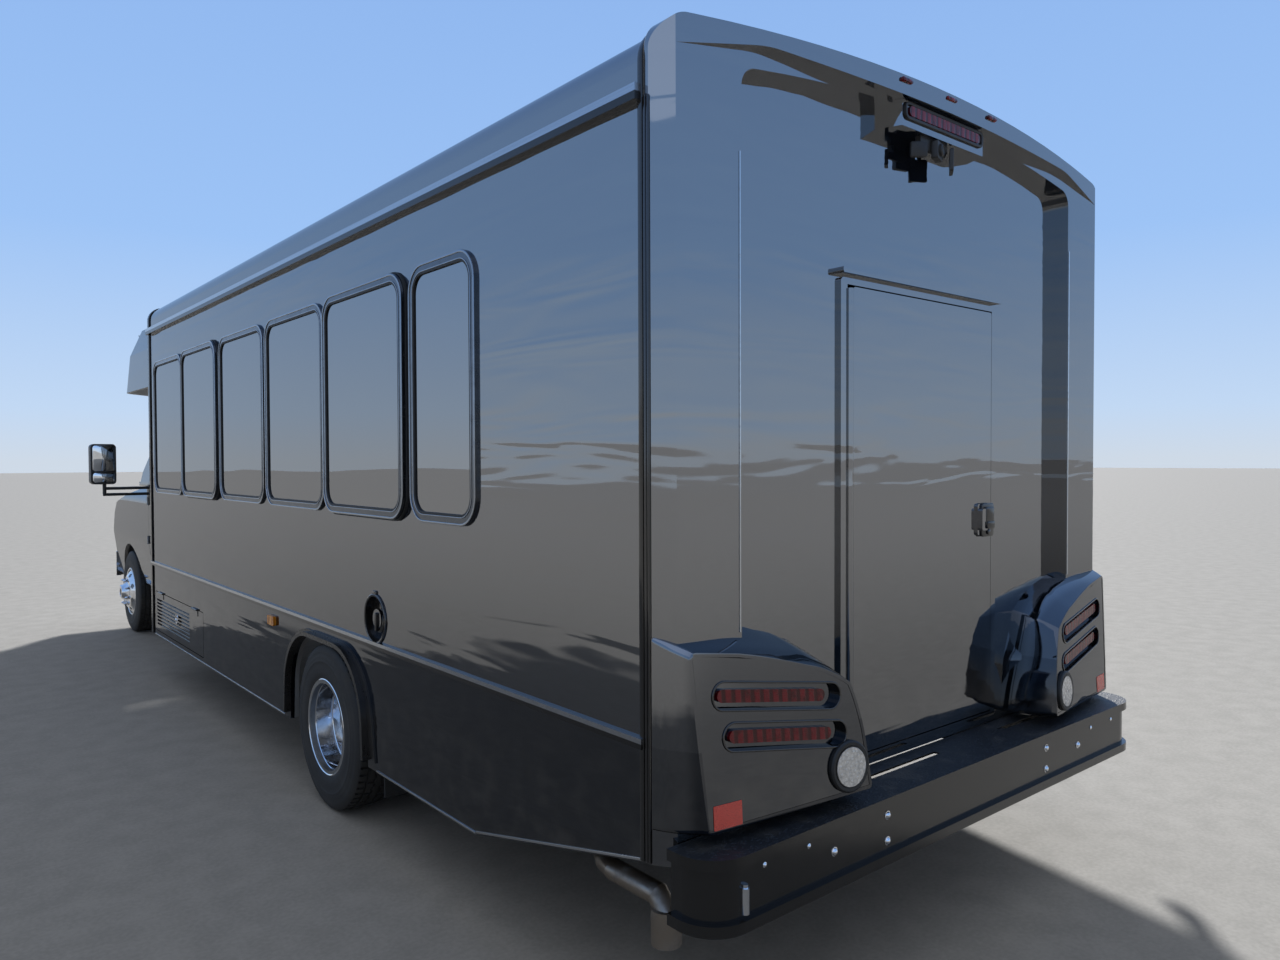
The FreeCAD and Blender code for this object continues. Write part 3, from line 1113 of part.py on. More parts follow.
doc.recompute()
for item in doc.Objects:
    if "Invalid" in item.State or "Error" in item.State:
        raise SystemExit("failed: %s %s" % (item.Name, item.State))
os.makedirs("parts", exist_ok=True)
for piece in PIECES:
    shape = piece.Shape
    if shape.isNull() or not shape.isValid() or not shape.Solids:
        raise SystemExit("not a sound solid: " + piece.Label)
for piece in PIECES:
    piece.Shape.exportStep("parts/%s.step" % piece.Label)
    print(piece.Label, len(piece.Shape.Solids), "%.1f l" % (piece.Shape.Volume / 1e6))
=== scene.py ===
# %% [markdown]
# # A minibus, dressed in Blender
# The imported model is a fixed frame: its solids have the right sizes and places, and every new
# piece here sits on one of them. This lesson gives the bus its paint, glass and chrome, and adds
# what is too fine for the solids: tyre treads, wheel liners, gaskets, trims, lamps, bolts, pads.

# %% Load the frame
import math
import bmesh
import bpy
from mathutils import Matrix, Vector
from mathutils.bvhtree import BVHTree


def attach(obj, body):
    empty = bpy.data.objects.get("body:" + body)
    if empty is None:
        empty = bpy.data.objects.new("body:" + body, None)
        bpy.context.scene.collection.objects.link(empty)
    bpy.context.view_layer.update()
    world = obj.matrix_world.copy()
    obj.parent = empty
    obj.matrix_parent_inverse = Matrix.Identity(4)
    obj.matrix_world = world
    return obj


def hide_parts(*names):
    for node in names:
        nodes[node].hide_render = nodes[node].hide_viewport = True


ops = bmesh.ops
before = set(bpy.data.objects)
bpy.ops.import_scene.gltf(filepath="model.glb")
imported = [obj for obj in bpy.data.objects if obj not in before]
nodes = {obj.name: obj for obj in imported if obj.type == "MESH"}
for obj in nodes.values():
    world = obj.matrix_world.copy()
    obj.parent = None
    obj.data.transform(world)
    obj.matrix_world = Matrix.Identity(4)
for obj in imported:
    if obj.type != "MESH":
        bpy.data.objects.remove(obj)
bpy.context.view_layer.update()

# %% [markdown]
# ## Places on the bus
# The numbers below are the few places that the solids share with the pieces made here, in
# metres. The front of the bus points to low Y, and its left side is at high X.

# %% Places
REAR, WALL = 4.228, 1.219
REAR_AXLE, FRONT_AXLE, TYRE_RADIUS = 1.858, -3.578, 0.372
FRONT_TRACK, REAR_TRACK, TWIN = 0.8815, 0.975, 0.1405
SIDES = ((1, "left"), (-1, "right"))


def show(name, data):
    """A new object of this data, in the scene."""
    made = bpy.data.objects.new(name, data)
    bpy.context.scene.collection.objects.link(made)
    return made


# %% [markdown]
# ## Camera
# The photograph was taken by a person standing behind the left rear corner with a wide lens.
# A camera could be aimed with a constraint, but three plain turns say more clearly what it does:
# which way it faces, how far it looks down, and how it leans.

# %% Camera
SPOT, LENS = (2.7365, 5.9026, 1.5699), 25.624
BEARING, PITCH, LEAN = (math.radians(turn) for turn in (140.257, -1.272, -0.212))
data = bpy.data.cameras.new("camera")
data.sensor_fit, data.sensor_width, data.lens, data.clip_end = "HORIZONTAL", 36, LENS, 500
camera = show("camera", data)
camera.matrix_world = (Matrix.Translation(SPOT) @ Matrix.Rotation(BEARING, 4, "Z")
                       @ Matrix.Rotation(math.pi / 2 + PITCH, 4, "X") @ Matrix.Rotation(LEAN, 4, "Z"))
bpy.context.scene.camera = camera
print("lens", round(data.lens, 1), "mm")

# %% [markdown]
# ## Shader maths as expressions
# A material is a small sum: dust over paint, wear over chrome. Wiring it by hand hides the sum,
# so one class wraps a socket and lets Python's own signs add the Math nodes. Every other node
# comes from one method, which takes its type, its settings and what goes into its sockets.

# %% Sockets and materials
class Value:
    """What comes out of a socket."""

    def __init__(self, graph, socket):
        self.graph, self.socket = graph, socket

    def math(self, operation, first, second):
        return self.graph.node("Math", {"operation": operation}, {0: first, 1: second})

    def __rsub__(self, other):
        return self.math("SUBTRACT", other, self)

    def __abs__(self):
        return self.math("ABSOLUTE", self, 0.0)


def sign(operation):
    return lambda self, other: self.math(operation, self, other)


for word, operation in (("add", "ADD"), ("radd", "ADD"), ("sub", "SUBTRACT"), ("mul", "MULTIPLY"),
                        ("rmul", "MULTIPLY"), ("gt", "GREATER_THAN"), ("lt", "LESS_THAN"),
                        ("mod", "FLOORED_MODULO"), ("pow", "POWER")):
    setattr(Value, f"__{word}__", sign(operation))


class Graph:
    """A node tree, to which one method adds every kind of node."""

    def __init__(self, tree):
        self.tree = tree

    def node(self, kind, settings=None, inputs=None, out=0):
        node = self.tree.nodes.new("ShaderNode" + kind)
        for key, value in (settings or {}).items():
            setattr(node, key, value)
        for key, value in (inputs or {}).items():
            self.put(node.inputs[key], value)
        return Value(self, node.outputs[out])

    def put(self, socket, value):
        if isinstance(value, Value):
            self.tree.links.new(value.socket, socket)
        else:
            socket.default_value = (*value, 1) if socket.type == "RGBA" else value


looks = {}


class Finish(Graph):
    """A material around one Principled shader. Keywords set its sockets, with _ for a space."""

    def __init__(self, name, **sockets):
        looks[name] = bpy.data.materials.new(name)
        looks[name].use_nodes = True
        super().__init__(looks[name].node_tree)
        self.shader = self.tree.nodes["Principled BSDF"]
        self.feed(**sockets)
        self.place = self.node("TexCoord", out="Object")
        split = self.node("SeparateXYZ", {}, {0: self.place}).socket.node
        self.x, self.y, self.z = (Value(self, output) for output in split.outputs)

    def feed(self, **sockets):
        for name, value in sockets.items():
            self.put(self.shader.inputs[name.replace("_", " ")], value)

    def noise(self, scale, detail=3.0, stretch=(1, 1, 1), distortion=0.0):
        spot = self.node("VectorMath", {"operation": "MULTIPLY"}, {0: self.place, 1: stretch})
        return self.node("TexNoise", {}, {"Vector": spot, "Scale": scale, "Detail": detail,
                                          "Distortion": distortion})

    def cells(self, scale, feature="F1", stretch=(1, 1, 1)):
        spot = self.node("VectorMath", {"operation": "MULTIPLY"}, {0: self.place, 1: stretch})
        return self.node("TexVoronoi", {"feature": feature}, {"Vector": spot, "Scale": scale})

    def between(self, value, low, high, to_low=0.0, to_high=1.0):
        """Goes smoothly from one number to another as value goes from low to high."""
        return self.node("MapRange", {"interpolation_type": "SMOOTHSTEP"},
                         {0: value, 1: low, 2: high, 3: to_low, 4: to_high})

    def mix(self, mask, first, second):
        """The first colour where mask is 0 and the second where it is 1."""
        return self.node("Mix", {"data_type": "RGBA"}, {0: mask, 6: first, 7: second}, out=2)

    def relief(self, height, distance):
        """Feeds the normal with a height in shares of distance."""
        self.feed(Normal=self.node("Bump", {}, {"Height": height, "Distance": distance, "Strength": 1.0}))

    def inner(self):
        """1 where a wall faces into the bus, by its normal and its place."""
        out = self.node("VectorMath", {"operation": "SUBTRACT"}, {0: self.place, 1: (0, 0, 1.5)})
        return self.node("VectorMath", {"operation": "DOT_PRODUCT"},
                         {0: self.node("TexCoord", out="Normal"), 1: out}, out="Value") < 0.0


def dress(members, look):
    """Gives solids, named in one string, their material."""
    for node in members.split():
        nodes[node].data.materials.clear()
        nodes[node].data.materials.append(looks[look])


print("sockets ready")

# %% [markdown]
# ## Paint
# The body is a composite skin in a very dark blue-black with a deep clear coat. Its panels are
# laid up by hand, so what they mirror wavers in long level ripples, and dust dulls them towards
# the skirt. A coat layer can't take a bumped normal of its own, so one layer with a high index
# carries the mirror, the ripples, a fine orange peel and the dust. Shade is painted in as a share
# of dark metal in the mix, which dims the mirror: below the belt, more and more from the windows
# down to the belt, and on the rear faces below 1.2 m, where the bus's shadow on the ground would be
# mirrored.

# %% Paint
NAVY, BLACK, DUST = (0.006, 0.010, 0.020), (0.012, 0.012, 0.013), (0.16, 0.155, 0.145)
LINING, CAB_LINING = (0.42, 0.42, 0.41), (0.16, 0.16, 0.165)
BELT_LINE = 0.826


def body_paint(name, lining, inside, ripple, skirt_shade):
    """Gloss body paint, with the lining of the walls where inside says so and painted shade: dark metal that
    dims the mirror low on the sides and the rear.
    """
    paint = Finish(name, IOR=3.4)
    waves = paint.noise(1.0, 2.0, (1.3, 0.9, 9.0), 0.5) + paint.noise(2.2, 2.0, (1.0, 0.6, 2.0)) * 0.9
    low = paint.between(paint.z, 1.0, 0.3)
    dust = low * paint.between(paint.noise(9, 5.0, (1, 1, 1.6)), 0.42, 0.75) * 0.35
    dust = dust + paint.between(paint.noise(2.1, 4.0), 0.5, 0.8) * 0.035
    colour = paint.mix(dust, paint.mix(paint.noise(0.8), NAVY, (0.004, 0.007, 0.014)), DUST)
    rough = dust * 0.5 + paint.noise(30, 3.0) * 0.03 + 0.012
    if inside:
        mask = inside(paint)
        woven = paint.mix(paint.cells(240), lining, tuple(c * 0.86 for c in lining))
        colour = paint.mix(mask, colour, woven)
        rough = rough + mask * 0.55
    # Painted shade: a share of dark metal dims the mirror below the belt, more and more from the windows
    # down to the belt, and on rear faces below 1.2 m, standing in for the mirrored shadow on the ground.
    painted_shade = (paint.z < BELT_LINE) * skirt_shade + paint.between(paint.z, 1.45, 0.75, 0.0, 0.45)
    painted_shade = painted_shade + paint.between(paint.y, REAR - 0.03, REAR + 0.01, 0.0, 0.25) * (paint.z < 1.2)
    paint.feed(Base_Color=colour, Roughness=rough, Metallic=painted_shade)
    paint.relief(waves + paint.noise(420, 1.0) * 0.004, 0.0044 * ripple)


def of_wall(paint):
    return abs(paint.x) < 1.2


def of_cap(paint):
    return paint.y < REAR - 0.1285


PAINTED = [
    # node, lining colour, where it lines, ripple, share of painted shade (dark metal) below the belt
    ("body_side_left", LINING, of_wall, 1.0, 0.25),
    ("body_side_right", LINING, of_wall, 1.0, 0.25),
    ("body_roof", (0.50, 0.50, 0.48), Finish.inner, 0.8, 0.0),
    ("rear_cap", LINING, of_cap, 0.5, 0.0),
    ("front_cap", LINING, Finish.inner, 0.6, 0.0),
    ("cab_shell", CAB_LINING, Finish.inner, 0.3, 0.0),
    ("cab_door_left", CAB_LINING, Finish.inner, 0.3, 0.0),
    ("cab_door_right", CAB_LINING, Finish.inner, 0.3, 0.0),
    ("front_wings", BLACK, Finish.inner, 0.3, 0.0),
    ("hood", BLACK, Finish.inner, 0.3, 0.0),
    ("rear_door", (0.30, 0.30, 0.30), lambda paint: paint.y < REAR - 0.128, 0.45, 0.0),
    ("compartment_door", BLACK, None, 0.6, 0.25),
]
for node, *row in PAINTED:
    body_paint("paint_" + node, *row)
    dress(node, "paint_" + node)
print(len(PAINTED), "painted solids")

# %% [markdown]
# ## Glass
# The side windows are tinted so deep that they only mirror. The windscreen and the cab's windows
# are clear enough to look into. Real transmission would need both faces of a pane, and an alpha
# shows the same from every side, so the clear panes are thin dark sheets that let most light by.

# %% Glass
def pane(name, members, colour, index, alpha, smear):
    """Window glass with faint wiping marks."""
    glass = Finish(name, IOR=index)
    marks = glass.noise(3.0, 5.0, (1, 1, 0.5), 0.8)
    dots = glass.between(glass.cells(170), 0.06, 0.02) * glass.between(glass.noise(40), 0.55, 0.7)
    cloud = glass.between(marks, 0.5, 0.78) * smear
    glass.feed(Base_Color=glass.mix(cloud + dots * 0.2, colour, (0.28, 0.29, 0.29)),
               Roughness=cloud * 0.5 + 0.004, Alpha=cloud * 0.12 + alpha)
    glass.relief(glass.noise(1.3, 1.0, (1, 1, 1.8)), 0.0016)
    dress(members, name)


pane("privacy_glass", "side_glass entry_glass_front entry_glass_rear",
     (0.003, 0.004, 0.006), 3.9, 1.0, 0.03)
pane("clear_glass", "windscreen door_glass_left door_glass_right", (0.016, 0.022, 0.022), 1.9, 0.42, 0.06)
print("glass set")

# %% [markdown]
# ## Metals
# Chrome, bright aluminium and bare steel differ in how sharp their mirror is and in what spoils
# it: fingerprints and water marks on chrome, drawn lines on aluminium, scale on cast iron. The
# same few lines make them all, from a short table.

# %% Metals
def metal(name, colour, rough, spoil, lift, metallic, soil, grain=(1, 1, 1)):
    """A metal with spots that dull it and, towards the ground, soil."""
    made = Finish(name)
    spots = made.between(made.noise(24, 6.0, grain), 0.45, 0.75)
    dirt = made.between(made.z, 0.62, 0.05) * made.between(made.noise(14, 5.0), 0.35, 0.7) * soil
    tint = made.mix(spots * 0.45, colour, tuple(c * 0.72 for c in colour))
    made.feed(Base_Color=made.mix(dirt, tint, DUST), Metallic=metallic - dirt * metallic,
              Roughness=spots * spoil + dirt * 0.5 + rough)
    made.relief(made.noise(90, 4.0, grain), lift)


METALS = [
    # name, solids, colour, roughness, spoiling, relief, metallic, soil, grain
    ("chrome", "front_bumper", (0.80, 0.81, 0.83), 0.045, 0.10, 0.00004, 1.0, 0.22),
    ("aluminium", "window_frames", (0.13, 0.14, 0.155), 0.20, 0.10, 0.00002, 0.95, 0.05),
    # a lighter metal, a painted highlight along the window frames' edges
    ("bead", "", (0.30, 0.32, 0.35), 0.14, 0.08, 0.00002, 1.0, 0.0),
    ("silver_strip", "", (0.62, 0.64, 0.66), 0.16, 0.14, 0.00006, 1.0, 0.05, (1, 0.1, 3)),
    ("steel", "drive_shaft", (0.30, 0.29, 0.28), 0.38, 0.30, 0.0006, 0.9, 0.4),
    ("exhaust_steel", "exhaust", (0.34, 0.29, 0.24), 0.34, 0.36, 0.0008, 0.9, 0.35),
    ("cast_iron", "front_axle rear_axle knuckle_left knuckle_right engine_block",
     (0.055, 0.052, 0.050), 0.62, 0.25, 0.0022, 0.35, 0.5),
    ("chassis_black", "chassis_frame fuel_tank", (0.022, 0.022, 0.023), 0.36, 0.34, 0.0006, 0.0, 0.5),
    ("bumper_black", "entry_leaf_front entry_leaf_rear",
     (0.016, 0.016, 0.017), 0.19, 0.20, 0.0003, 0.0, 0.25),
    ("wheel_steel", "wheel_front_left wheel_front_right wheels_rear_left wheels_rear_right",
     (0.30, 0.31, 0.32), 0.30, 0.25, 0.0004, 0.7, 0.5),
    ("mirror_silver", "", (0.86, 0.88, 0.90), 0.01, 0.03, 0.00002, 1.0, 0.0),
]
for name, members, *row in METALS:
    metal(name, *row)
    dress(members, name)
print(len(METALS), "metals")

# %% [markdown]
# ## Plastics and rubber
# Moulded black plastic has a leather-like grain that shows only as a broken highlight. Rubber is
# duller and browner and carries dust in its hollows. Both come from one recipe whose grain is a
# cell pattern, with a size and a depth.

# %% Plastics and rubber
def moulded(name, colour, rough, grain, depth, dusty, index):
    """A moulded plastic or rubber with a grain."""
    made = Finish(name, IOR=index)
    pebble = made.cells(grain, "SMOOTH_F1")
    cloud = made.between(made.noise(7, 5.0), 0.4, 0.75) * dusty
    made.feed(Base_Color=made.mix(cloud + pebble * 0.08, colour,
                                  tuple((c + d) / 2 for c, d in zip(colour, DUST))),
              Roughness=made.noise(60) * 0.12 + cloud * 0.3 + rough)
    made.relief(pebble + made.noise(500, 2.0) * 0.3, depth)


PLASTICS = [
    # name, solids, colour, roughness, cells per metre, depth, dust, index
    ("black_plastic", "mirror_left mirror_right", (0.020, 0.020, 0.021), 0.38, 420, 0.0003, 0.12, 1.5),
    ("gloss_black", "", (0.010, 0.010, 0.011), 0.08, 120, 0.00004, 0.06, 1.7),
    ("flare_black", "wheel_flares", (0.014, 0.014, 0.015), 0.22, 300, 0.0002, 0.22, 1.6),
    ("tyre_rubber", "", (0.022, 0.021, 0.020), 0.62, 260, 0.0004, 0.42, 1.5),
    ("seal_rubber", "mud_flaps", (0.013, 0.013, 0.013), 0.5, 500, 0.0002, 0.1, 1.5),
    ("dash_grain", "dashboard steering_wheel", (0.055, 0.056, 0.060), 0.55, 520, 0.0005, 0.05, 1.5),
    ("bright_plastic", "grille", (0.46, 0.47, 0.49), 0.16, 90, 0.00006, 0.06, 1.7),
]
for name, members, *row in PLASTICS:
    moulded(name, *row)
    dress(members, name)
print(len(PLASTICS), "plastics")

# %% [markdown]
# ## Two-tone strips, tread and floor
# The belt is a bright strip over a black one, and the drip rail a bright lip over a dark gutter
# whose black is partly painted shadow under the lip.
# Both are one solid, so the height of a point picks its colour. The bumper's top is a grip
# surface, and the floor is vinyl over board.

# %% Strips, tread and floor
strip = Finish("belt_and_drip_rail")
# The drip rail's black below 2.5155 m is its dark gutter and also painted shadow under the bright lip; the
# belt's black strip is its own colour.
bright = (strip.z > 0.8285) * (strip.z < 1.0) + (strip.z > 2.5155)
drawn = strip.noise(60, 4.0, (1, 0.04, 2.5))
drawn_metal = strip.mix(drawn, (0.50, 0.52, 0.55), (0.36, 0.38, 0.41))
strip.feed(Base_Color=strip.mix(bright, (0.014, 0.014, 0.016), drawn_metal), Metallic=bright * 0.95,
           Roughness=drawn * 0.14 + 0.12)
strip.relief(drawn, 0.0001)

tread = Finish("bumper_tread", IOR=1.6)
up = tread.node("SeparateXYZ", {}, {0: tread.node("TexCoord", out="Normal")}, out=2)
level = (up > 0.9) * (tread.z > 0.55)
diamonds = tread.between(tread.cells(70, stretch=(1, 1.6, 0.2)), 0.45, 0.2)
wear = tread.between(tread.noise(11, 5.0), 0.5, 0.75) * level
tread.feed(Base_Color=tread.mix(wear * 0.6 + diamonds * level * 0.06, (0.013, 0.013, 0.014),
                                (0.09, 0.088, 0.084)),
           Roughness=level * 0.34 + tread.noise(26) * 0.16 + 0.10)
tread.relief(diamonds * level + tread.noise(130) * 0.12, 0.0012)

floor = Finish("floor_vinyl")
fleck = floor.between(floor.cells(300), 0.2, 0.5)
board = floor.noise(6, 6.0, (1, 8, 1))
wood = floor.mix(board, (0.05, 0.043, 0.034), (0.10, 0.085, 0.065))
vinyl = floor.mix(fleck, (0.13, 0.13, 0.135), (0.055, 0.056, 0.06))
floor.feed(Base_Color=floor.mix(floor.z > 0.8, wood, vinyl), Roughness=fleck * 0.1 + 0.5)
floor.relief(fleck + board * 0.4, 0.0004)

dress("body_mouldings", "belt_and_drip_rail")
dress("rear_bumper", "bumper_tread")
dress("body_floor", "floor_vinyl")
print("strips, tread and floor set")

# %% [markdown]
# ## Lamps
# A lens is a coloured plastic with ribs on its back. The tail lenses are dark red bars with a row
# of light cells, the side lamps are amber, and the reversing lamps are clear discs in a black
# ring. The ring is the same solid as the disc, so the distance from its middle picks the colour.

# %% Lamps
REVERSE_X, REVERSE_Z = 0.648, 0.701


def lens_finish(name, colour, glow, pitch):
    """A coloured lens with a row of cells behind it."""
    lens = Finish(name, IOR=1.45)
    cell = lens.between(abs((abs(lens.x) + lens.y * 0.4) % pitch - pitch / 2), pitch * 0.38, pitch * 0.2)
    row = cell * lens.between(lens.noise(40, 2.0), 0.2, 0.6)
    lens.feed(Base_Color=lens.mix(row, colour, glow), Roughness=lens.noise(80) * 0.05 + 0.05)
    lens.relief(cell + abs(lens.z % 0.006 - 0.003) * 120, 0.0006)


lens_finish("red_lens", (0.060, 0.002, 0.004), (0.21, 0.005, 0.012), 0.030)
lens_finish("amber_lens", (0.62, 0.21, 0.012), (0.95, 0.44, 0.05), 0.024)

lamp = Finish("reverse_lens", IOR=1.7)
across, high = abs(lamp.x) - REVERSE_X, lamp.z - REVERSE_Z
ring = lamp.between((across * across + high * high) ** 0.5, 0.0545, 0.0555)
facets = lamp.cells(85)
lamp.feed(Base_Color=lamp.mix(ring, lamp.mix(facets, (0.78, 0.80, 0.83), (0.42, 0.44, 0.47)), BLACK),
          Roughness=ring * 0.3 + 0.06, Metallic=(1 - ring) * 0.35)
lamp.relief(facets * (1 - ring), 0.002)

dress("red_lamps", "red_lens")
dress("amber_lamps", "amber_lens")
dress("reverse_lamps", "reverse_lens")
print("lamps set")

# %% [markdown]
# ## Tools for shapes
# Most fittings start as one of three forms: a rounded plate, a rounded hoop, or a turned body.
# A plate is a face with its corners bevelled and then pushed out. A hoop is the same face inset
# and opened. A turned body is a short chain of points, spun. Each is built at the origin and put
# in its place by a matrix whose third axis points out of the surface that carries it.

# %% Tools for shapes
def at(spot, out, up=(0, 0, 1), tip=0.0):
    """A place whose Z points out and whose Y points up, turned about out by tip."""
    z = Vector(out).normalized()
    x = Vector(up).cross(z).normalized()
    turn = Matrix((x, z.cross(x), z)).transposed().to_4x4()
    return Matrix.Translation(spot) @ turn @ Matrix.Rotation(tip, 4, "Z")


def moved(x, y, z):
    return Matrix.Translation((x, y, z))


def chamfer(mesh, geometry, offset, segments, affect="EDGES"):
    ops.bevel(mesh, geom=geometry, offset=offset, segments=segments, affect=affect,
              profile=0.5, material=-1, clamp_overlap=True)


def points(geometry):
    return [v for v in geometry if isinstance(v, bmesh.types.BMVert)]


scratch = bpy.data.meshes.new("scratch")


def put_in(mesh, part, place):
    """Adds a finished closed part to a mesh, at its place."""
    ops.recalc_face_normals(part, faces=part.faces[:])
    ops.transform(part, matrix=place, verts=part.verts[:])
    part.to_mesh(scratch)
    part.free()
    mesh.from_mesh(scratch)


def rounded_face(width, height, corner, steps):
    """A new part that holds one face, with its corners rounded."""
    part = bmesh.new()
    corners = [part.verts.new((width / 2 * a, height / 2 * b, 0))
               for a, b in ((-1, -1), (1, -1), (1, 1), (-1, 1))]
    part.faces.new(corners)
    if corner:
        chamfer(part, corners, corner, steps, "VERTICES")
    return part


def raised(part, faces, depth, edge):
    """Pushes faces out into a solid and rounds the outer rims."""
    top = ops.extrude_face_region(part, geom=faces, use_keep_orig=True)["geom"]
    lids = {f for f in top if isinstance(f, bmesh.types.BMFace)}
    ops.translate(part, verts=points(top), vec=(0, 0, depth))
    if edge:
        rims = [e for e in part.edges if len(e.link_faces) == 2
                and sum(f in lids for f in e.link_faces) == 1]
        chamfer(part, rims, edge, 2)


def plate(mesh, place, width, height, depth, corner=0.0, edge=0.0, steps=5):
    """A rounded plate that stands out of its place."""
    part = rounded_face(width, height, corner, steps)
    raised(part, part.faces[:], depth, edge)
    put_in(mesh, part, place)


def hoop(mesh, place, width, height, rim, depth, corner, edge, steps=8):
    """A rounded frame of a given rim, open in the middle."""
    part = rounded_face(width, height, corner, steps)
    middle = part.faces[:]
    ring = ops.inset_region(part, faces=middle, thickness=rim, use_even_offset=True,
                            use_boundary=True)["faces"]
    ops.delete(part, geom=middle, context="FACES")
    raised(part, ring, depth, edge)
    put_in(mesh, part, place)


def spun(section, steps, closed=True):
    """A new part: a chain of (radius, height) points spun about Z. Ends on the axis close it."""
    part = bmesh.new()
    chain = [part.verts.new((radius, 0, height)) for radius, height in section]
    edges = [part.edges.new(pair) for pair in zip(chain, chain[1:])]
    if closed and section[0][0] and section[-1][0]:
        edges.append(part.edges.new((chain[-1], chain[0])))
    ops.spin(part, geom=chain + edges, cent=(0, 0, 0), axis=(0, 0, 1), angle=math.tau, steps=steps,
             use_merge=True)
    ops.remove_doubles(part, verts=part.verts[:], dist=1e-6)
    return part


def turned(mesh, place, section, steps):
    put_in(mesh, spun(section, steps), place)


def rod(mesh, start, end, radius, steps=12):
    """A round bar between two points."""
    start, end = Vector(start), Vector(end)
    long = (end - start).length
    up = (0, 0, 1) if abs((end - start).normalized().z) < 0.99 else (0, 1, 0)
    turned(mesh, at(start, end - start, up), [(0, 0), (radius, 0), (radius, long), (0, long)], steps)


def outwards(mesh, right):
    """Makes an open mesh's normals agree, and turns them all if right says that they are wrong."""
    ops.recalc_face_normals(mesh, faces=mesh.faces[:])
    if not right():
        ops.reverse_faces(mesh, faces=mesh.faces[:])


def piece(name, mesh, look, slot, body="bus", sharp=35.0, sheet=False):
    """Makes a mesh an object that rides on a body. An open sheet keeps the normals it has."""
    mesh.normal_update()
    if not sheet:
        ops.recalc_face_normals(mesh, faces=mesh.faces[:])
    data = bpy.data.meshes.new(name)
    mesh.to_mesh(data)
    mesh.free()
    made = show(name, data)
    data.materials.append(looks[look])
    data.shade_smooth()
    data.set_sharp_from_angle(angle=math.radians(sharp))
    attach(made, body)
    print(f"{name}: {len(data.polygons)} faces")
    return made


surfaces = {}


def settle(node, start, toward):
    """Where a ray meets a solid, and the way its surface faces there."""
    if node not in surfaces:
        surfaces[node] = BVHTree.FromObject(nodes[node], bpy.context.evaluated_depsgraph_get())
    return surfaces[node].ray_cast(Vector(start), Vector(toward).normalized())[:2]


# %% [markdown]
# ## Tyres
# A road tyre is a turned body with a cut tread. Its section is a table from the middle of the
# tread to the bead, mirrored and spun. The straight grooves are in the section. The zigzag of the
# two middle grooves comes from shifting their points to and fro, and the shoulder's cross
# grooves from sinking every third patch.

# %% Tyres
TYRE_HALF = [
    # axial, radius: from the bead up the wall to the middle of the tread
    (0.0895, 0.2036), (0.1010, 0.2090), (0.1085, 0.2230), (0.1118, 0.2450), (0.1125, 0.2700),
    (0.1110, 0.2905), (0.1118, 0.2925), (0.1112, 0.2965), (0.1092, 0.3050), (0.1094, 0.3080),
    (0.1078, 0.3170), (0.1040, 0.3330), (0.1044, 0.3370), (0.0990, 0.3500), (0.0955, 0.3600),
    (0.0905, 0.3662), (0.0840, 0.3692), (0.0600, 0.3709), (0.0585, 0.3635), (0.0505, 0.3635),
    (0.0490, 0.3713), (0.0235, 0.3718), (0.0220, 0.3642), (0.0150, 0.3642), (0.0135, 0.3719),
]
TYRE_STEPS = 192


def tyre(mesh, middle, axle):
    """One tyre about a middle (x) on an axle (y)."""
    half = [(radius, axial) for axial, radius in TYRE_HALF]
    part = spun(half + [(radius, -axial) for radius, axial in reversed(half)], TYRE_STEPS)
    step = math.tau / TYRE_STEPS
    for vert in part.verts:
        if 0.012 < abs(vert.co.z) < 0.025 and vert.co.xy.length > 0.36:
            turn = round(math.atan2(vert.co.y, vert.co.x) / step) % 4
            vert.co.z += 0.0035 * (1 if turn in (0, 1) else -1)
    sunk = []
    for face in part.faces:
        spot = face.calc_center_median()
        radius, up = spot.xy.length, spot.z > 0
        turn = round(math.atan2(spot.y, spot.x) / step - 0.5) % TYRE_STEPS
        shoulder = 0.060 < abs(spot.z) < 0.0925 and radius > 0.366 and turn % 3 == (0 if up else 1)
        rib = 0.026 < abs(spot.z) < 0.049 and radius > 0.368 and turn % 6 == (2 if up else 5)
        if shoulder or rib:
            sunk.append(face)
    for face in ops.extrude_discrete_faces(part, faces=sunk)["faces"]:
        inward = Vector((*face.calc_center_median().xy, 0)).normalized() * -0.006
        ops.translate(part, verts=face.verts[:], vec=inward)
    put_in(mesh, part, moved(middle, axle, TYRE_RADIUS) @ Matrix.Rotation(math.pi / 2, 4, "Y"))


TYRES = [
    # name, solid, body, track, axle, shifts from the track
    ("treaded_tyre_front_", "tyre_front_", "front_wheel_", FRONT_TRACK, FRONT_AXLE, (0,)),
    ("treaded_tyres_rear_", "tyres_rear_", "rear_wheels_", REAR_TRACK, REAR_AXLE, (-TWIN, TWIN)),
]
for side, place in SIDES:
    for name, solid, body, track, axle, shifts in TYRES:
        mesh = bmesh.new()
        for shift in shifts:
            tyre(mesh, side * track + shift, axle)
        made = piece(name + place, mesh, "tyre_rubber", solid + place, body + place)
        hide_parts(solid + place)

# %% [markdown]
# ## Wheel liners
# Chromed liners cover the steel wheels: on the back pair a deep bowl with hand holes round a hub
# with eight nuts, in front a domed cover that stands out. A liner is a thin turned sheet with a
# few patches taken out for the hand holes, given its thickness by Solidify.

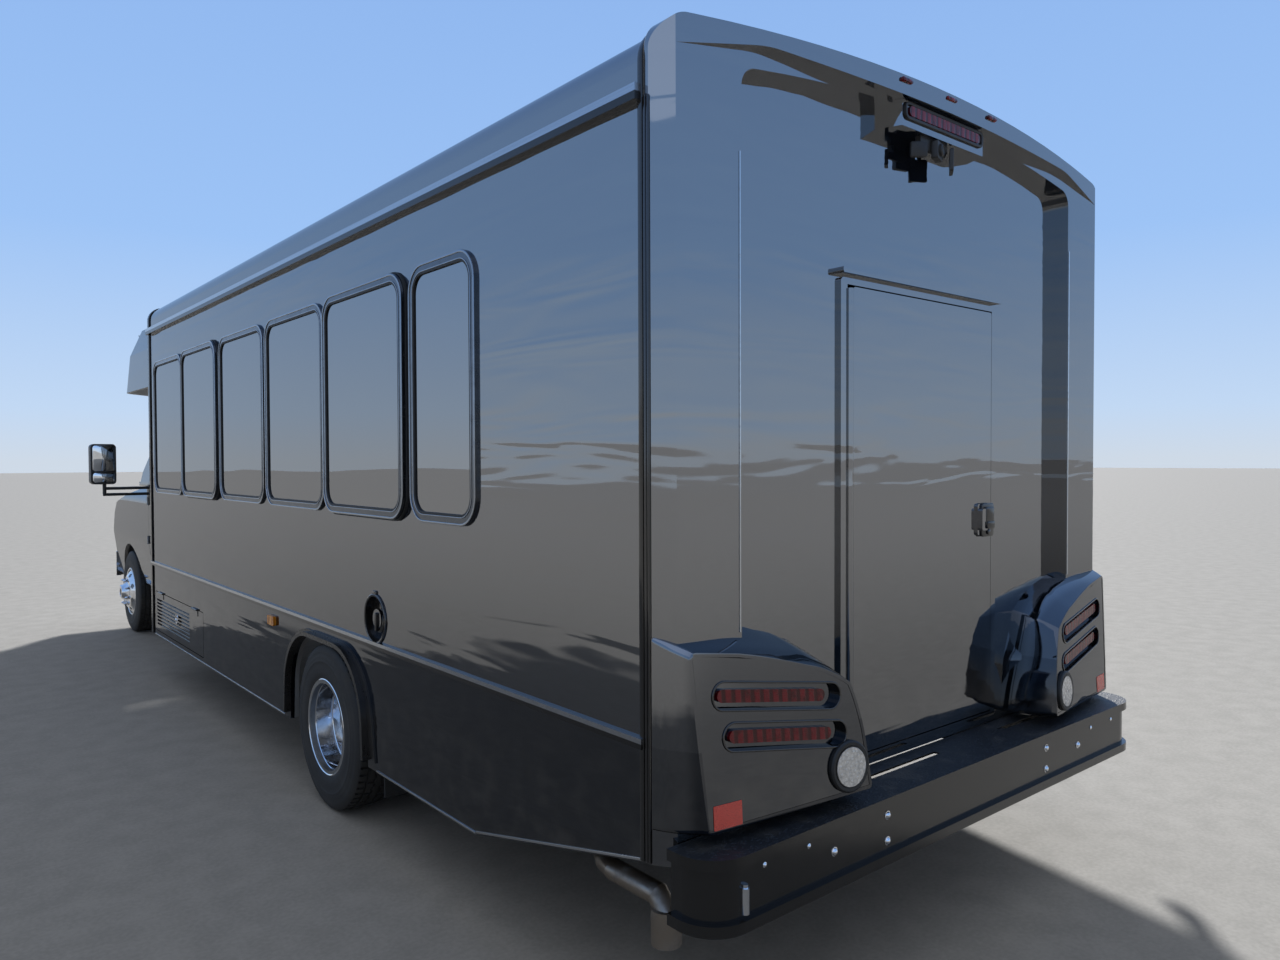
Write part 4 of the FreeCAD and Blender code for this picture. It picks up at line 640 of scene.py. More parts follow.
# %% Wheel liners
REAR_LINER = [
    # radius, out from the middle of the pair
    (0.2160, 0.2455), (0.2125, 0.2475), (0.2065, 0.2440), (0.2000, 0.2330), (0.1965, 0.2230),
    (0.1930, 0.2180), (0.1905, 0.1500), (0.1890, 0.1430), (0.1855, 0.1400), (0.1835, 0.0900),
    (0.1820, 0.0500), (0.1780, 0.0380), (0.1690, 0.0310), (0.1620, 0.0290), (0.1540, 0.0280),
    (0.1460, 0.0280), (0.1380, 0.0290), (0.1300, 0.0320), (0.1240, 0.0400), (0.1180, 0.0430),
    (0.0930, 0.0430), (0.0900, 0.0500), (0.0880, 0.0760), (0.0830, 0.0820), (0.0660, 0.1180),
    (0.0560, 0.1300), (0.0480, 0.1320), (0.0460, 0.1290), (0.0, 0.1290),
]
FRONT_LINER = [
    # radius, out from the middle of the tyre
    (0.2160, 0.1050), (0.2120, 0.1070), (0.2060, 0.1040), (0.2000, 0.0960), (0.1960, 0.0950),
    (0.1920, 0.0985), (0.1780, 0.1090), (0.1700, 0.1150), (0.1620, 0.1208), (0.1540, 0.1264),
    (0.1460, 0.1320), (0.1400, 0.1350), (0.1300, 0.1372), (0.0960, 0.1390), (0.0900, 0.1430),
    (0.0740, 0.1590), (0.0640, 0.1750), (0.0540, 0.1880), (0.0400, 0.1900), (0.0380, 0.1880),
    (0.0, 0.1880),
]
LINER_STEPS, HUB_NUTS, HAND_HOLES = 96, 8, 8


def liner(section, holes, centre):
    """A liner with hand holes between two radii, given as (low, high)."""
    mesh = spun(section, LINER_STEPS, closed=False)
    middle, reach = sum(holes) / 2, (holes[1] - holes[0]) / 2
    gone = []
    for face in mesh.faces:
        spot = face.calc_center_median()
        radius = spot.xy.length
        share = (math.atan2(spot.y, spot.x) / math.tau * HAND_HOLES) % 1.0
        across = abs(share - 0.5) * math.tau * radius / HAND_HOLES
        if holes[0] < radius < holes[1] and math.hypot(across, radius - middle) < reach * 1.12:
            gone.append(face)
    ops.delete(mesh, geom=gone, context="FACES")
    outwards(mesh, lambda: sum(f.normal.z for f in mesh.faces) >= 0)
    ops.solidify(mesh, geom=mesh.faces[:], thickness=0.0012)
    ops.transform(mesh, matrix=centre, verts=mesh.verts[:])
    return mesh


def hub_nuts(ring, height, size, centre):
    """Nuts with domed ends on a ring round the hub."""
    mesh = bmesh.new()
    for index in range(HUB_NUTS):
        angle = math.tau * (index + 0.5) / HUB_NUTS
        foot = centre @ moved(ring * math.cos(angle), ring * math.sin(angle), height)
        turned(mesh, foot, [(0, 0), (size * 1.35, 0), (size * 1.35, 0.004), (0, 0.004)], 16)
        turned(mesh, foot, [(0, 0.003), (size, 0.003), (size, 0.024), (size * 0.86, 0.027), (0, 0.027)], 6)
        turned(mesh, foot, [(0, 0.026), (size * 0.8, 0.026), (size * 0.66, 0.034), (size * 0.3, 0.039),
                            (0, 0.040)], 12)
    return mesh


WHEELS = [
    # end, solid, body, track, axle, liner, hand holes, ring of nuts, its height, nut radius
    ("rear_", "wheels_rear_", "rear_wheels_", REAR_TRACK, REAR_AXLE,
     REAR_LINER, (0.129, 0.163), 0.1055, 0.0430, 0.0135),
    ("front_", "wheel_front_", "front_wheel_", FRONT_TRACK, FRONT_AXLE,
     FRONT_LINER, (0.145, 0.179), 0.1130, 0.1375, 0.0125),
]
for side, place in SIDES:
    for end, solid, body, track, axle, section, holes, ring, height, size in WHEELS:
        centre = at((side * track, axle, TYRE_RADIUS), (side, 0, 0))
        home = (solid + place, body + place)
        piece("wheel_liner_" + end + place, liner(section, holes, centre), "chrome", *home, 30)
        piece("hub_nuts_" + end + place, hub_nuts(ring, height, size, centre), "chrome", *home, 30)
    mesh = bmesh.new()
    turned(mesh, centre @ moved(0, 0, 0.1878), [(0, 0), (0.030, 0), (0.030, 0.001), (0.024, 0.0022),
                                                (0, 0.0022)], 24)
    piece("hub_centre_front_" + place, mesh, "black_plastic", *home)

# %% [markdown]
# ## Window gaskets and latches
# Each window's glass sits in a black rubber gasket inside a drawn aluminium frame. The hinged
# ones have a second seal round the sash. A gasket is a hoop: a rounded face, inset and opened.

# %% Window gaskets
WINDOWS = [
    # middle y, width, frame out from the wall, sides
    (2.993, 0.490, 0.009, (1, -1)), (2.318, 0.800, 0.022, (1, -1)), (1.492, 0.800, 0.009, (1, -1)),
    (0.666, 0.800, 0.009, (1, -1)), (-0.160, 0.800, 0.022, (1, -1)), (-0.986, 0.800, 0.009, (1,)),
]
WINDOW_LOW, WINDOW_HIGH, WINDOW_CORNER = 1.345, 2.282, 0.105
WINDOW_HOOPS = [
    # name, inset from the frame, rim, rise, foot out from the frame, edge
    ("gaskets", 0.029, 0.011, 0.0066, -0.0058, 0.0015),
    # beads: lighter metal on the frames' outer and inner edges, a painted highlight along those edges
    ("beads", 0.0006, 0.0085, 0.0030, 0.0001, 0.0018),
    ("beads", 0.0270, 0.0045, 0.0022, 0.0001, 0.00132),
]
meshes = {name: bmesh.new() for name in ("gaskets", "seals", "beads")}
for middle, width, proud, sides in WINDOWS:
    for side in sides:
        rows = [(name, inset, rim, rise, proud + foot, edge)
                for name, inset, rim, rise, foot, edge in WINDOW_HOOPS]
        if proud > 0.02:
            rows.append(("seals", -0.007, 0.0068, 0.010, 0.0002, 0.002))
        for name, inset, rim, rise, foot, edge in rows:
            centre = (side * (WALL + foot), middle, (WINDOW_LOW + WINDOW_HIGH) / 2)
            hoop(meshes[name], at(centre, (side, 0, 0)), width - 2 * inset,
                 WINDOW_HIGH - WINDOW_LOW - 2 * inset, rim, rise, WINDOW_CORNER - inset, edge)
piece("window_gaskets", meshes["gaskets"], "seal_rubber", "window_frames")
piece("vent_window_seals", meshes["seals"], "seal_rubber", "window_frames")
piece("window_beads", meshes["beads"], "bead", "window_frames")

# %% [markdown]
# ## Joint trims
# A black moulding covers the joint between the body and each end cap. It runs up the wall, round
# the eave and over the roof. An edge is pushed up the wall, spun round the eave and spun again
# along the roof's long arc, then mirrored.

# %% Joint trims
EAVE_RADIUS, CROWN_RADIUS, CREST = 0.090, 10.3, 2.751
JOINTS = [
    # name, low end, from y to y, thickness
    ("front_joint_trim", 0.311, -1.552, -1.507, 0.008),
    ("rear_joint_trim", 0.520, 4.080, 4.0975, 0.007),
]


def joint_trim(mesh, low, y_low, y_high, proud):
    """Half a band from a low end up the wall and over the roof, thickened and mirrored."""
    eave = Vector((WALL - EAVE_RADIUS, 0, 0))
    crown = Vector((0, 0, CREST - CROWN_RADIUS))
    lean = math.asin(eave.x / (CROWN_RADIUS - EAVE_RADIUS))
    eave.z = crown.z + (CROWN_RADIUS - EAVE_RADIUS) * math.cos(lean)
    edge = mesh.edges.new([mesh.verts.new((WALL + 0.0005, y, low)) for y in (y_low, y_high)])
    risen = ops.extrude_edge_only(mesh, edges=[edge])["geom"]
    ops.translate(mesh, verts=points(risen), vec=(0, 0, eave.z - low))
    last = [g for g in risen if not isinstance(g, bmesh.types.BMFace)]
    for centre, angle, steps in ((eave, math.pi / 2 - lean, 8), (crown, lean, 12)):
        last = ops.spin(mesh, geom=last, cent=centre, axis=(0, -1, 0), angle=angle,
                        steps=steps)["geom_last"]
    for vert in points(last):
        vert.co.x = 0.0
    ops.mirror(mesh, geom=mesh.verts[:] + mesh.edges[:] + mesh.faces[:], axis="X", merge_dist=1e-4)
    outwards(mesh, lambda: max(mesh.faces, key=lambda f: f.calc_center_median().z).normal.z >= 0)
    ops.solidify(mesh, geom=mesh.faces[:], thickness=-proud)
    edges = [e for e in mesh.edges if len(e.link_faces) == 2 and e.calc_face_angle(0) > 1.2]
    chamfer(mesh, edges, 0.0022, 2)


for name, *row in JOINTS:
    mesh = bmesh.new()
    joint_trim(mesh, *row)
    piece(name, mesh, "gloss_black", "body_mouldings")

# %% [markdown]
# Two black beads follow the rear corner, and a bright strip edges the skirt, level as far as the
# last metre and then rising with it. All are long thin plates on the wall.

# %% Corner beads and skirt edge
SKIRT_LOW, SKIRT_END = 0.3145, 0.520
EDGE_STRIP = (0.0075, 0.003, 0, 0.001)  # height, depth, corner, edge
beads, strips = bmesh.new(), bmesh.new()
for side in (1, -1):
    wall = side * (WALL + 0.0002)
    for y, width in ((4.1045, 0.011), (4.1160, 0.008)):
        plate(beads, at((wall, y, 1.511), (side, 0, 0)), width, 1.98, 0.0055, 0.0, 0.002)
    for start, end in ((-1.505, 1.312), (2.405, 3.205)):
        plate(strips, at((wall, (start + end) / 2, SKIRT_LOW), (side, 0, 0)), end - start, *EDGE_STRIP)
    low, high = Vector((wall, 3.208, SKIRT_LOW)), Vector((wall, 4.094, SKIRT_END))
    slope = high - low
    rise = Vector((0, -slope.z, slope.y)).normalized()
    plate(strips, at((low + high) / 2 + rise * 0.004, (side, 0, 0), rise), slope.length - 0.006, *EDGE_STRIP)
piece("corner_beads", beads, "gloss_black", "body_mouldings")
piece("skirt_edge_strips", strips, "silver_strip", "body_mouldings")

# %% [markdown]
# ## The lamp pods
# A pod is moulded with soft edges and a slightly full skin. The CAD's pod is a plain loft, so a
# skin goes round it: two outlines bridged, bulged, cut by the pod's sloping face and rounded
# along the cut. Whatever sits on a pod takes its height from that same sloping plane.

# %% Skins of the lamp pods
POD_WALL = [
    # x, z, corner: the pod's outline on the recessed wall
    (1.219, 0.612, 0.010), (1.219, 1.110, 0.012), (0.890, 1.103, 0.120), (0.690, 1.038, 0.100),
    (0.615, 0.980, 0.060), (0.545, 0.810, 0.200), (0.524, 0.612, 0.010),
]
POD_TIP = [
    # x, z, corner: where it would end behind its sloping face
    (1.082, 0.627, 0.010), (1.108, 1.025, 0.012), (0.906, 0.990, 0.120), (0.687, 0.953, 0.060),
    (0.633, 0.922, 0.040), (0.593, 0.836, 0.060), (0.562, 0.627, 0.010),
]
POD_DEPTHS = (REAR - 0.107, REAR + 0.100)
POD_GROWN, POD_BULGE, POD_RIM = 0.0035, 0.007, 0.010
TAIL_LAMPS = [(0.888, 0.932, 0.447), (0.865, 0.823, 0.435)]
POCKET_TALL, SLOT_TIP = 0.070, math.radians(7.8)


def pod_spot(x, z, out=0.0):
    """A point on the sloping face of a lamp pod, and the way that the face looks."""
    side = 1 if x > 0 else -1
    normal = Vector((0.13 * side, 1, 0.059)).normalized()
    y = REAR + 0.08 - 0.13 * (abs(x) - REVERSE_X) - 0.059 * (z - REVERSE_Z)
    return Vector((x, y, z)) + normal * out, normal


def pod_skin(side):
    """The smooth skin round one pod: a loft between two outlines, bulged, and cut by its face."""
    part = bmesh.new()
    for rows, depth in zip((POD_WALL, POD_TIP), POD_DEPTHS):
        corners = [part.verts.new((side * x, depth, z)) for x, z, _ in rows]
        part.faces.new(corners)
        for vert, (_, _, corner) in zip(corners, rows):
            chamfer(part, [vert], corner, 6, "VERTICES")
    rims = part.edges[:]
    ops.delete(part, geom=part.faces[:], context="FACES_ONLY")
    ops.bridge_loops(part, edges=rims)
    rungs = [e for e in part.edges if abs(e.verts[0].co.y - e.verts[1].co.y) > 0.1]
    ops.subdivide_edges(part, edges=rungs, cuts=8, use_grid_fill=True)
    middle = Vector((side * 0.88, 0, 0.82))
    outwards(part, lambda: sum((f.calc_center_median() - middle).xz.dot(f.normal.xz)
                               for f in part.faces) >= 0)
    part.normal_update()
    for vert in part.verts:
        share = (vert.co.y - POD_DEPTHS[0]) / (POD_DEPTHS[1] - POD_DEPTHS[0])
        vert.co += vert.normal * (POD_GROWN + POD_BULGE * 4 * share * (1 - share) * (1.4 - share))
        vert.co.x = side * min(side * vert.co.x, WALL + 0.0004)
    spot, normal = pod_spot(side * REVERSE_X, REVERSE_Z, 0.0012)

    def on_face(edge):
        return all(abs((v.co - spot).dot(normal)) < 1e-4 for v in edge.verts)

    ops.bisect_plane(part, geom=part.verts[:] + part.edges[:] + part.faces[:], plane_co=spot,
                     plane_no=normal, clear_outer=True)
    lid = ops.edgeloop_fill(part, edges=[e for e in part.edges if e.is_boundary and on_face(e)])["faces"]
    ops.inset_region(part, faces=lid, thickness=POD_RIM, use_even_offset=True)
    ops.delete(part, geom=lid, context="FACES_ONLY")
    ops.dissolve_degenerate(part, dist=1e-5, edges=part.edges[:])
    sharp = [e for e in part.edges if len(e.link_faces) == 2 and e.calc_face_angle(0) > 0.9 and on_face(e)]
    chamfer(part, sharp, 0.006, 3)
    return part


# The pods' paint carries the same painted shade: dark metal dims their mirror below the belt and on their
# sloping faces.
body_paint("paint_pods", LINING, None, 0.12, 0.1)
skins, rims = bmesh.new(), bmesh.new()
for side in (1, -1):
    skin = pod_skin(side)
    skin.to_mesh(scratch)
    skin.free()
    skins.from_mesh(scratch)
    for x, z, long in TAIL_LAMPS:
        spot, normal = pod_spot(side * x, z)
        hoop(rims, at(spot, normal, tip=-side * SLOT_TIP), long + 0.010, POCKET_TALL + 0.010, 0.006, 0.0035,
             POCKET_TALL / 2 + 0.0045, 0.0016, 10)
piece("pod_skins", skins, "paint_pods", "rear_cap", sharp=50, sheet=True)
piece("lamp_pocket_rims", rims, "gloss_black", "rear_cap", sharp=50)

# %% [markdown]
# ## Reflectors and clearance lamps
# The red reflectors are stuck on, with the fine cells of a prism sheet. The clearance lamps are
# small domed bars on the roof lip behind and, found there by a ray, on the brow in front.

# %% Reflectors and clearance lamps
prism = Finish("red_reflector", IOR=1.8)
cells = prism.cells(260, "DISTANCE_TO_EDGE")
prism.feed(Base_Color=prism.mix(prism.between(cells, 0.0, 0.1), (0.45, 0.012, 0.010), (0.85, 0.055, 0.035)),
           Roughness=prism.noise(60) * 0.1 + 0.16)
prism.relief(cells, 0.0004)
mesh = bmesh.new()
for side in (1, -1):
    plate(mesh, at(*pod_spot(side * 1.076, 0.6525, 0.0004)), 0.092, 0.062, 0.0012, 0.002)
    plate(mesh, at((side * 1.1990, 4.1452, 1.007), (side * 0.826, 0.564, 0)), 0.046, 0.100, 0.0014, 0.002)
piece("red_reflectors", mesh, "red_reflector", "red_lamps")

mesh = bmesh.new()
for x in (-0.253, 0.0, 0.253):
    plate(mesh, at((x, REAR - 0.003, CREST + 0.0035 - x * x / 20), (0, 1, 0.25)),
          0.056, 0.013, 0.010, 0.006, 0.003)
piece("rear_clearance_lamps", mesh, "red_lens", "red_lamps")

mesh = bmesh.new()
for x in (-0.52, -0.26, 0.0, 0.26, 0.52):
    spot, normal = settle("front_cap", (x, -5.0, 2.36), (0, 1, 0))
    if spot:
        plate(mesh, at(spot + normal * 0.0004, normal), 0.095, 0.030, 0.018, 0.012, 0.006)
piece("front_clearance_lamps", mesh, "amber_lens", "amber_lamps")

# %% [markdown]
# ## High brake lamp and camera
# The high brake lamp is a capsule lens in a rounded bezel, and the camera hangs under its
# housing on a folded black bracket. A thin bright bead down each edge of the recess paints the
# highlight along that edge.

# %% High brake lamp and camera
mesh = bmesh.new()
hoop(mesh, at((0, REAR - 0.0248, 2.676), (0, 1, 0)), 0.462, 0.056, 0.010, 0.0075, 0.020, 0.002)
piece("brake_lamp_bezel", mesh, "black_plastic", "red_lamps")

RECESS_HALF, RECESS_DEEP = 0.9475, 0.0515
# Silver rods that paint the highlight down each edge of the recess.
mesh = bmesh.new()
for side in (1, -1):
    rod(mesh, (side * RECESS_HALF, REAR - RECESS_DEEP, 1.10),
        (side * RECESS_HALF, REAR - RECESS_DEEP, 2.40), 0.0022, 10)
piece("recess_edge_beads", mesh, "silver_strip", "rear_cap")

CAMERA_PARTS = [
    # x, depth ahead of the rear, z, lean about Z, width, height, thickness
    (0.040, 0.050, 2.604, 0.0, 0.150, 0.046, 0.010),
    (0.118, 0.048, 2.578, 0.6, 0.056, 0.050, 0.012),
    (0.030, 0.046, 2.590, -0.3, 0.060, 0.060, 0.022),
    (-0.062, 0.044, 2.574, -0.6, 0.066, 0.076, 0.012),
]
mesh = bmesh.new()
for x, ahead, z, lean, width, height, depth in CAMERA_PARTS:
    plate(mesh, at((x, REAR - ahead, z), (math.sin(lean), math.cos(lean), 0)),
          width, height, depth, 0.006, 0.003)
for x in (-0.05, 0.11):
    rod(mesh, (x, REAR - 0.055, 2.600), (x, REAR - 0.055, 2.634), 0.007)
turned(mesh, at((0.024, REAR - 0.0255, 2.590), (-0.30, 0.954, 0)),
       [(0, 0), (0.020, 0), (0.020, 0.008), (0.015, 0.012), (0.013, 0.009), (0, 0.009)], 24)
piece("rear_camera", mesh, "black_plastic", "rear_cap")

# %% [markdown]
# ## Door latch and reversing lamps
# The door's latch is a black paddle in a shallow dish with a lock beside it. The reversing lamps
# are clusters of small clear domes, placed on rings, in a rubber ring of their own.

# %% Door latch and reversing lamp domes
mesh = bmesh.new()
LATCH_X, LATCH_Z = -0.380, 1.345
door_face = settle("rear_door", (LATCH_X, 5.0, LATCH_Z), (0, -1, 0))[0].y
latch = at((LATCH_X, door_face + 0.0004, LATCH_Z), (0, 1, 0))
plate(mesh, latch, 0.082, 0.122, 0.006, 0.012, 0.002)
plate(mesh, latch @ moved(0, 0.012, 0.006), 0.056, 0.072, 0.010, 0.008, 0.004)
plate(mesh, latch @ moved(0, -0.018, 0.0158), 0.050, 0.026, 0.004, 0.006, 0.0015)
turned(mesh, latch @ moved(0, -0.044, 0.006), [(0, 0), (0.010, 0), (0.010, 0.005), (0.0085, 0.006),
                                               (0, 0.006)], 20)
piece("rear_door_latch", mesh, "gloss_black", "rear_door", "rear_door_body")

clear = Finish("clear_domes", IOR=1.9)
clear.feed(Base_Color=clear.mix(clear.cells(400), (0.86, 0.87, 0.89), (0.6, 0.62, 0.64)),
           Roughness=clear.noise(90) * 0.08 + 0.04)
clear.relief(clear.noise(220), 0.0002)
DOME = [(0, 0.0075), (0.0045, 0.0068), (0.0082, 0.0045), (0.0100, 0.0012), (0.0102, -0.002), (0, -0.002)]
REVERSE_RING = [(0.0545, 0.0), (0.0735, 0.0), (0.0730, 0.0085), (0.0680, 0.0125), (0.0590, 0.0120),
                (0.0550, 0.0085)]
domes, rings = bmesh.new(), bmesh.new()
for side in (1, -1):
    face = at(*pod_spot(side * REVERSE_X, REVERSE_Z))
    turned(rings, face, REVERSE_RING, 40)
    for ring, count in ((0.0, 1), (0.0205, 6), (0.0400, 11)):
        for index in range(count):
            angle = math.tau * (index + 0.25) / count
            turned(domes, face @ moved(ring * math.cos(angle), ring * math.sin(angle), 0.0064), DOME, 10)
piece("reverse_lamp_domes", domes, "clear_domes", "reverse_lamps")
piece("reverse_lamp_rings", rings, "seal_rubber", "reverse_lamps")

# %% [markdown]
# ## Bumper bolts
# Dome bolts hold the bumper's face to its arms, and a short chromed stub stands at its left end.
# Each bolt is a turned washer and dome, set where a ray meets the bumper.

# %% Bumper bolts
BOLTS = [
    # x, z, radius
    (0.482, 0.523, 0.0105), (0.482, 0.447, 0.0105), (0.729, 0.484, 0.0105),
    (0.837, 0.529, 0.0060), (1.012, 0.529, 0.0060),
]
STUB_X = 1.087
mesh = bmesh.new()
for side in (1, -1):
    for x, z, radius in BOLTS:
        spot, normal = settle("rear_bumper", (side * x, 5.0, z), (0, -1, 0))
        turned(mesh, at(spot, normal), [
            (0, 0), (radius * 1.25, 0), (radius * 1.25, 0.0015), (radius, 0.002),
            (radius * 0.85, radius * 0.5), (radius * 0.5, radius * 0.8), (0, radius * 0.9)], 16)
stub_y = settle("rear_bumper", (STUB_X, 5.0, 0.464), (0, -1, 0))[0].y + 0.0030
for low, high, radius in ((0.428, 0.494, 0.0115), (0.490, 0.503, 0.008)):
    rod(mesh, (STUB_X, stub_y, low), (STUB_X, stub_y, high), radius, 20)
piece("bumper_bolts", mesh, "chrome", "rear_bumper")

# %% [markdown]
# ## The left side
# The fuel filler is a black cup with a rim and a cap, and the locker has a round latch. Both are
# turned bodies. The cup's rim stands a few millimetres out of the wall and has a small tab.

# %% Filler and locker latch
mesh = bmesh.new()
place = at((WALL, 2.407, 0.932), (1, 0, 0))
turned(mesh, place, [(0.0945, -0.030), (0.0945, 0.0005), (0.1040, 0.0005), (0.1030, 0.0050),
                     (0.0980, 0.0070), (0.0915, 0.0050), (0.0900, -0.026), (0.0, -0.026), (0.0, -0.030)], 48)
turned(mesh, place @ moved(0, -0.012, -0.026), [(0, 0), (0.047, 0), (0.047, 0.012), (0.041, 0.016),
                                                (0.0, 0.016)], 28)
plate(mesh, place @ moved(0, -0.012, -0.011), 0.016, 0.076, 0.014, 0.006, 0.004)
plate(mesh, place @ moved(0, 0.1045, 0.0), 0.034, 0.022, 0.006, 0.006, 0.002)
piece("fuel_filler_cup", mesh, "gloss_black", "body_side_left")

mesh = bmesh.new()
spot, _ = settle("compartment_door", (2.0, -0.859, 0.502), (-1, 0, 0))
place = at((spot.x, -0.859, 0.502), (1, 0, 0))
turned(mesh, place, [(0.024, -0.004), (0.036, -0.004), (0.036, 0.004), (0.033, 0.0065), (0.027, 0.0065),
                     (0.0245, 0.003)], 36)
turned(mesh, place, [(0, -0.004), (0.0243, -0.004), (0.0243, 0.001), (0, 0.001)], 36)
plate(mesh, place @ moved(0, 0, 0.001), 0.012, 0.040, 0.005, 0.005, 0.002)
piece("locker_latch", mesh, "chrome", "compartment_door", "locker_door_body")

# %% [markdown]
# ## Mirrors
# The tow mirrors have a flat glass over a small domed one in a black surround. A dome is a plate
# with a wide rounded edge.

# %% Mirrors
MIRROR_X, MIRROR_FACE = 1.345, -2.633
for side, place in SIDES:
    def facing(ahead, height):
        return at((side * MIRROR_X, MIRROR_FACE + ahead, height), (0, 1, 0))

    mesh = bmesh.new()
    for low, high, bulge in ((1.492, 1.702, 0.0015), (1.398, 1.480, 0.004)):
        plate(mesh, facing(0.0004, (low + high) / 2), 0.156, high - low, 0.003 + bulge, 0.022, bulge)
    piece("mirror_glass_" + place, mesh, "mirror_silver", "mirror_" + place, "door_" + place)
    mesh = bmesh.new()
    hoop(mesh, facing(0, 1.550), 0.180, 0.326, 0.009, 0.008, 0.028, 0.003)
    plate(mesh, facing(0, 1.486), 0.166, 0.009, 0.008, 0.0, 0.002)
    piece("mirror_surround_" + place, mesh, "black_plastic", "mirror_" + place, "door_" + place)

# %% [markdown]
# ## Wipers and the whip
# The wipers lie along the windscreen's foot, so their ends are found by rays on the glass. A whip
# with a ball at its foot stands on the left of the front cap.

# %% Wipers and whip
mesh = bmesh.new()
for foot_x, tip_x in ((0.62, 0.06), (-0.10, -0.66)):
    foot, normal = settle("windscreen", (foot_x, -4.0, 1.470), (0, 1, 0))
    tip, _ = settle("windscreen", (tip_x, -4.0, 1.500), (0, 1, 0))
    middle, blade = foot.lerp(tip, 0.55), (tip - foot).normalized()
    away = normal * 0.020
    rod(mesh, foot + normal * 0.004, foot + away * 1.3, 0.012)
    rod(mesh, foot + away, middle + away, 0.0055)
    for reach, radius, lift in ((0.24, 0.0035, 0.010), (0.15, 0.0045, 0.017)):
        rod(mesh, middle - blade * reach + normal * lift, middle + blade * reach + normal * lift, radius, 8)
piece("wipers", mesh, "black_plastic", "windscreen")

mesh = bmesh.new()
foot, normal = settle("front_cap", (2.0, -2.62, 2.430), (-1, 0, 0))
turned(mesh, at(foot, normal), [(0, -0.002), (0.016, -0.002), (0.016, 0.004), (0.011, 0.012), (0, 0.014)],
       20)
rod(mesh, foot + normal * 0.010, foot + normal * 0.012 + Vector((0, 0, 0.185)), 0.0022, 8)
piece("radio_whip", mesh, "black_plastic", "front_cap")

# %% [markdown]
# ## Headlamps
# A headlamp is a chromed bowl with a bulb behind a clear lens, so the plain block gives way to
# three forms: the tray with its bowl, the bulb's cap, and a thin lens.

# %% Headlamps
lens = Finish("headlamp_lens", IOR=1.5)
lens.feed(Base_Color=lens.mix(lens.noise(8), (0.80, 0.83, 0.86), (0.70, 0.73, 0.77)),
          Roughness=lens.noise(50) * 0.05 + 0.02, Alpha=lens.noise(5) * 0.06 + 0.22)
lens.relief(abs(lens.x % 0.018 - 0.009) * 110, 0.0012)
LAMP_LOW, LAMP_HIGH, LAMP_INNER, LAMP_OUTER, LAMP_FACE = 0.8003, 1.0297, 0.5903, 0.8997, -4.244
BOWL = [(0.020, 0.0), (0.060, 0.008), (0.088, 0.028), (0.092, 0.034), (0.088, 0.034), (0.058, 0.013),
        (0.020, 0.004)]
TURN_BOWL = [(0, 0), (0.034, 0), (0.036, 0.020), (0.032, 0.020), (0.026, 0.008), (0, 0.008)]
trays, lenses = bmesh.new(), bmesh.new()
width, height = LAMP_OUTER - LAMP_INNER, LAMP_HIGH - LAMP_LOW
for side in (1, -1):
    def lamp_spot(out, deep, way=-1):
        middle = Vector((side * (LAMP_OUTER + LAMP_INNER) / 2, LAMP_FACE, (LAMP_LOW + LAMP_HIGH) / 2))
        return at(middle + Vector((side * out, deep, 0)), (0, way, 0))

    hoop(trays, lamp_spot(0, 0, 1), width, height, 0.010, 0.044, 0.022, 0.002)
    plate(trays, lamp_spot(0, 0.040, 1), width - 0.012, height - 0.012, 0.004, 0.018)
    turned(trays, lamp_spot(-0.045, 0.0395), BOWL, 40)
    turned(trays, lamp_spot(-0.045, 0.0395), [(0, 0), (0.020, 0), (0.020, 0.012), (0.013, 0.020),
                                              (0, 0.022)], 20)
    turned(trays, lamp_spot(0.108, 0.0395), TURN_BOWL, 28)
    plate(lenses, lamp_spot(0, 0.0005), width - 0.004, height - 0.004, 0.0045, 0.022, 0.002)
tray = piece("headlamp_bowls", trays, "chrome", "headlamps")
piece("headlamp_lenses", lenses, "headlamp_lens", "headlamps")
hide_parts("headlamps")

# %% [markdown]
# ## Radiator core
# Behind the grille stands the radiator: a dark plate with a row of upright fins.

# %% Radiator core
mesh = bmesh.new()
plate(mesh, at((0, -4.196, 0.9), (0, -1, 0)), 1.04, 0.22, 0.004, 0.010)
for index in range(26):
    plate(mesh, at((-0.50 + index * 0.04, -4.2002, 0.9), (0, -1, 0)), 0.004, 0.21, 0.003)
piece("radiator_core", mesh, "chassis_black", "grille")

# %% [markdown]
# ## Seats
# Each bench has two pads side by side on a welded frame. One cushion and one back are blown up as
# cloth from a slightly small block, which gives them a crown and drawn-in sides, and the result
# is copied to every place.

# %% Seat cloth
cloth = Finish("seat_cloth", Sheen_Weight=0.25, Sheen_Roughness=0.5)
warp = abs(cloth.z % 0.0036 - 0.0018) * 500 + abs(cloth.x % 0.0036 - 0.0018) * 500
tuft = cloth.between(cloth.cells(95), 0.15, 0.45)
cloth.feed(Base_Color=cloth.mix(tuft, (0.13, 0.15, 0.19), (0.045, 0.052, 0.070)),
           Roughness=cloth.noise(40) * 0.1 + 0.82)
cloth.relief(warp + cloth.noise(200) * 0.6, 0.0007)
PAD_STEPS, PAD_VOXEL, PAD_CAP = 20, 0.024, 0.022


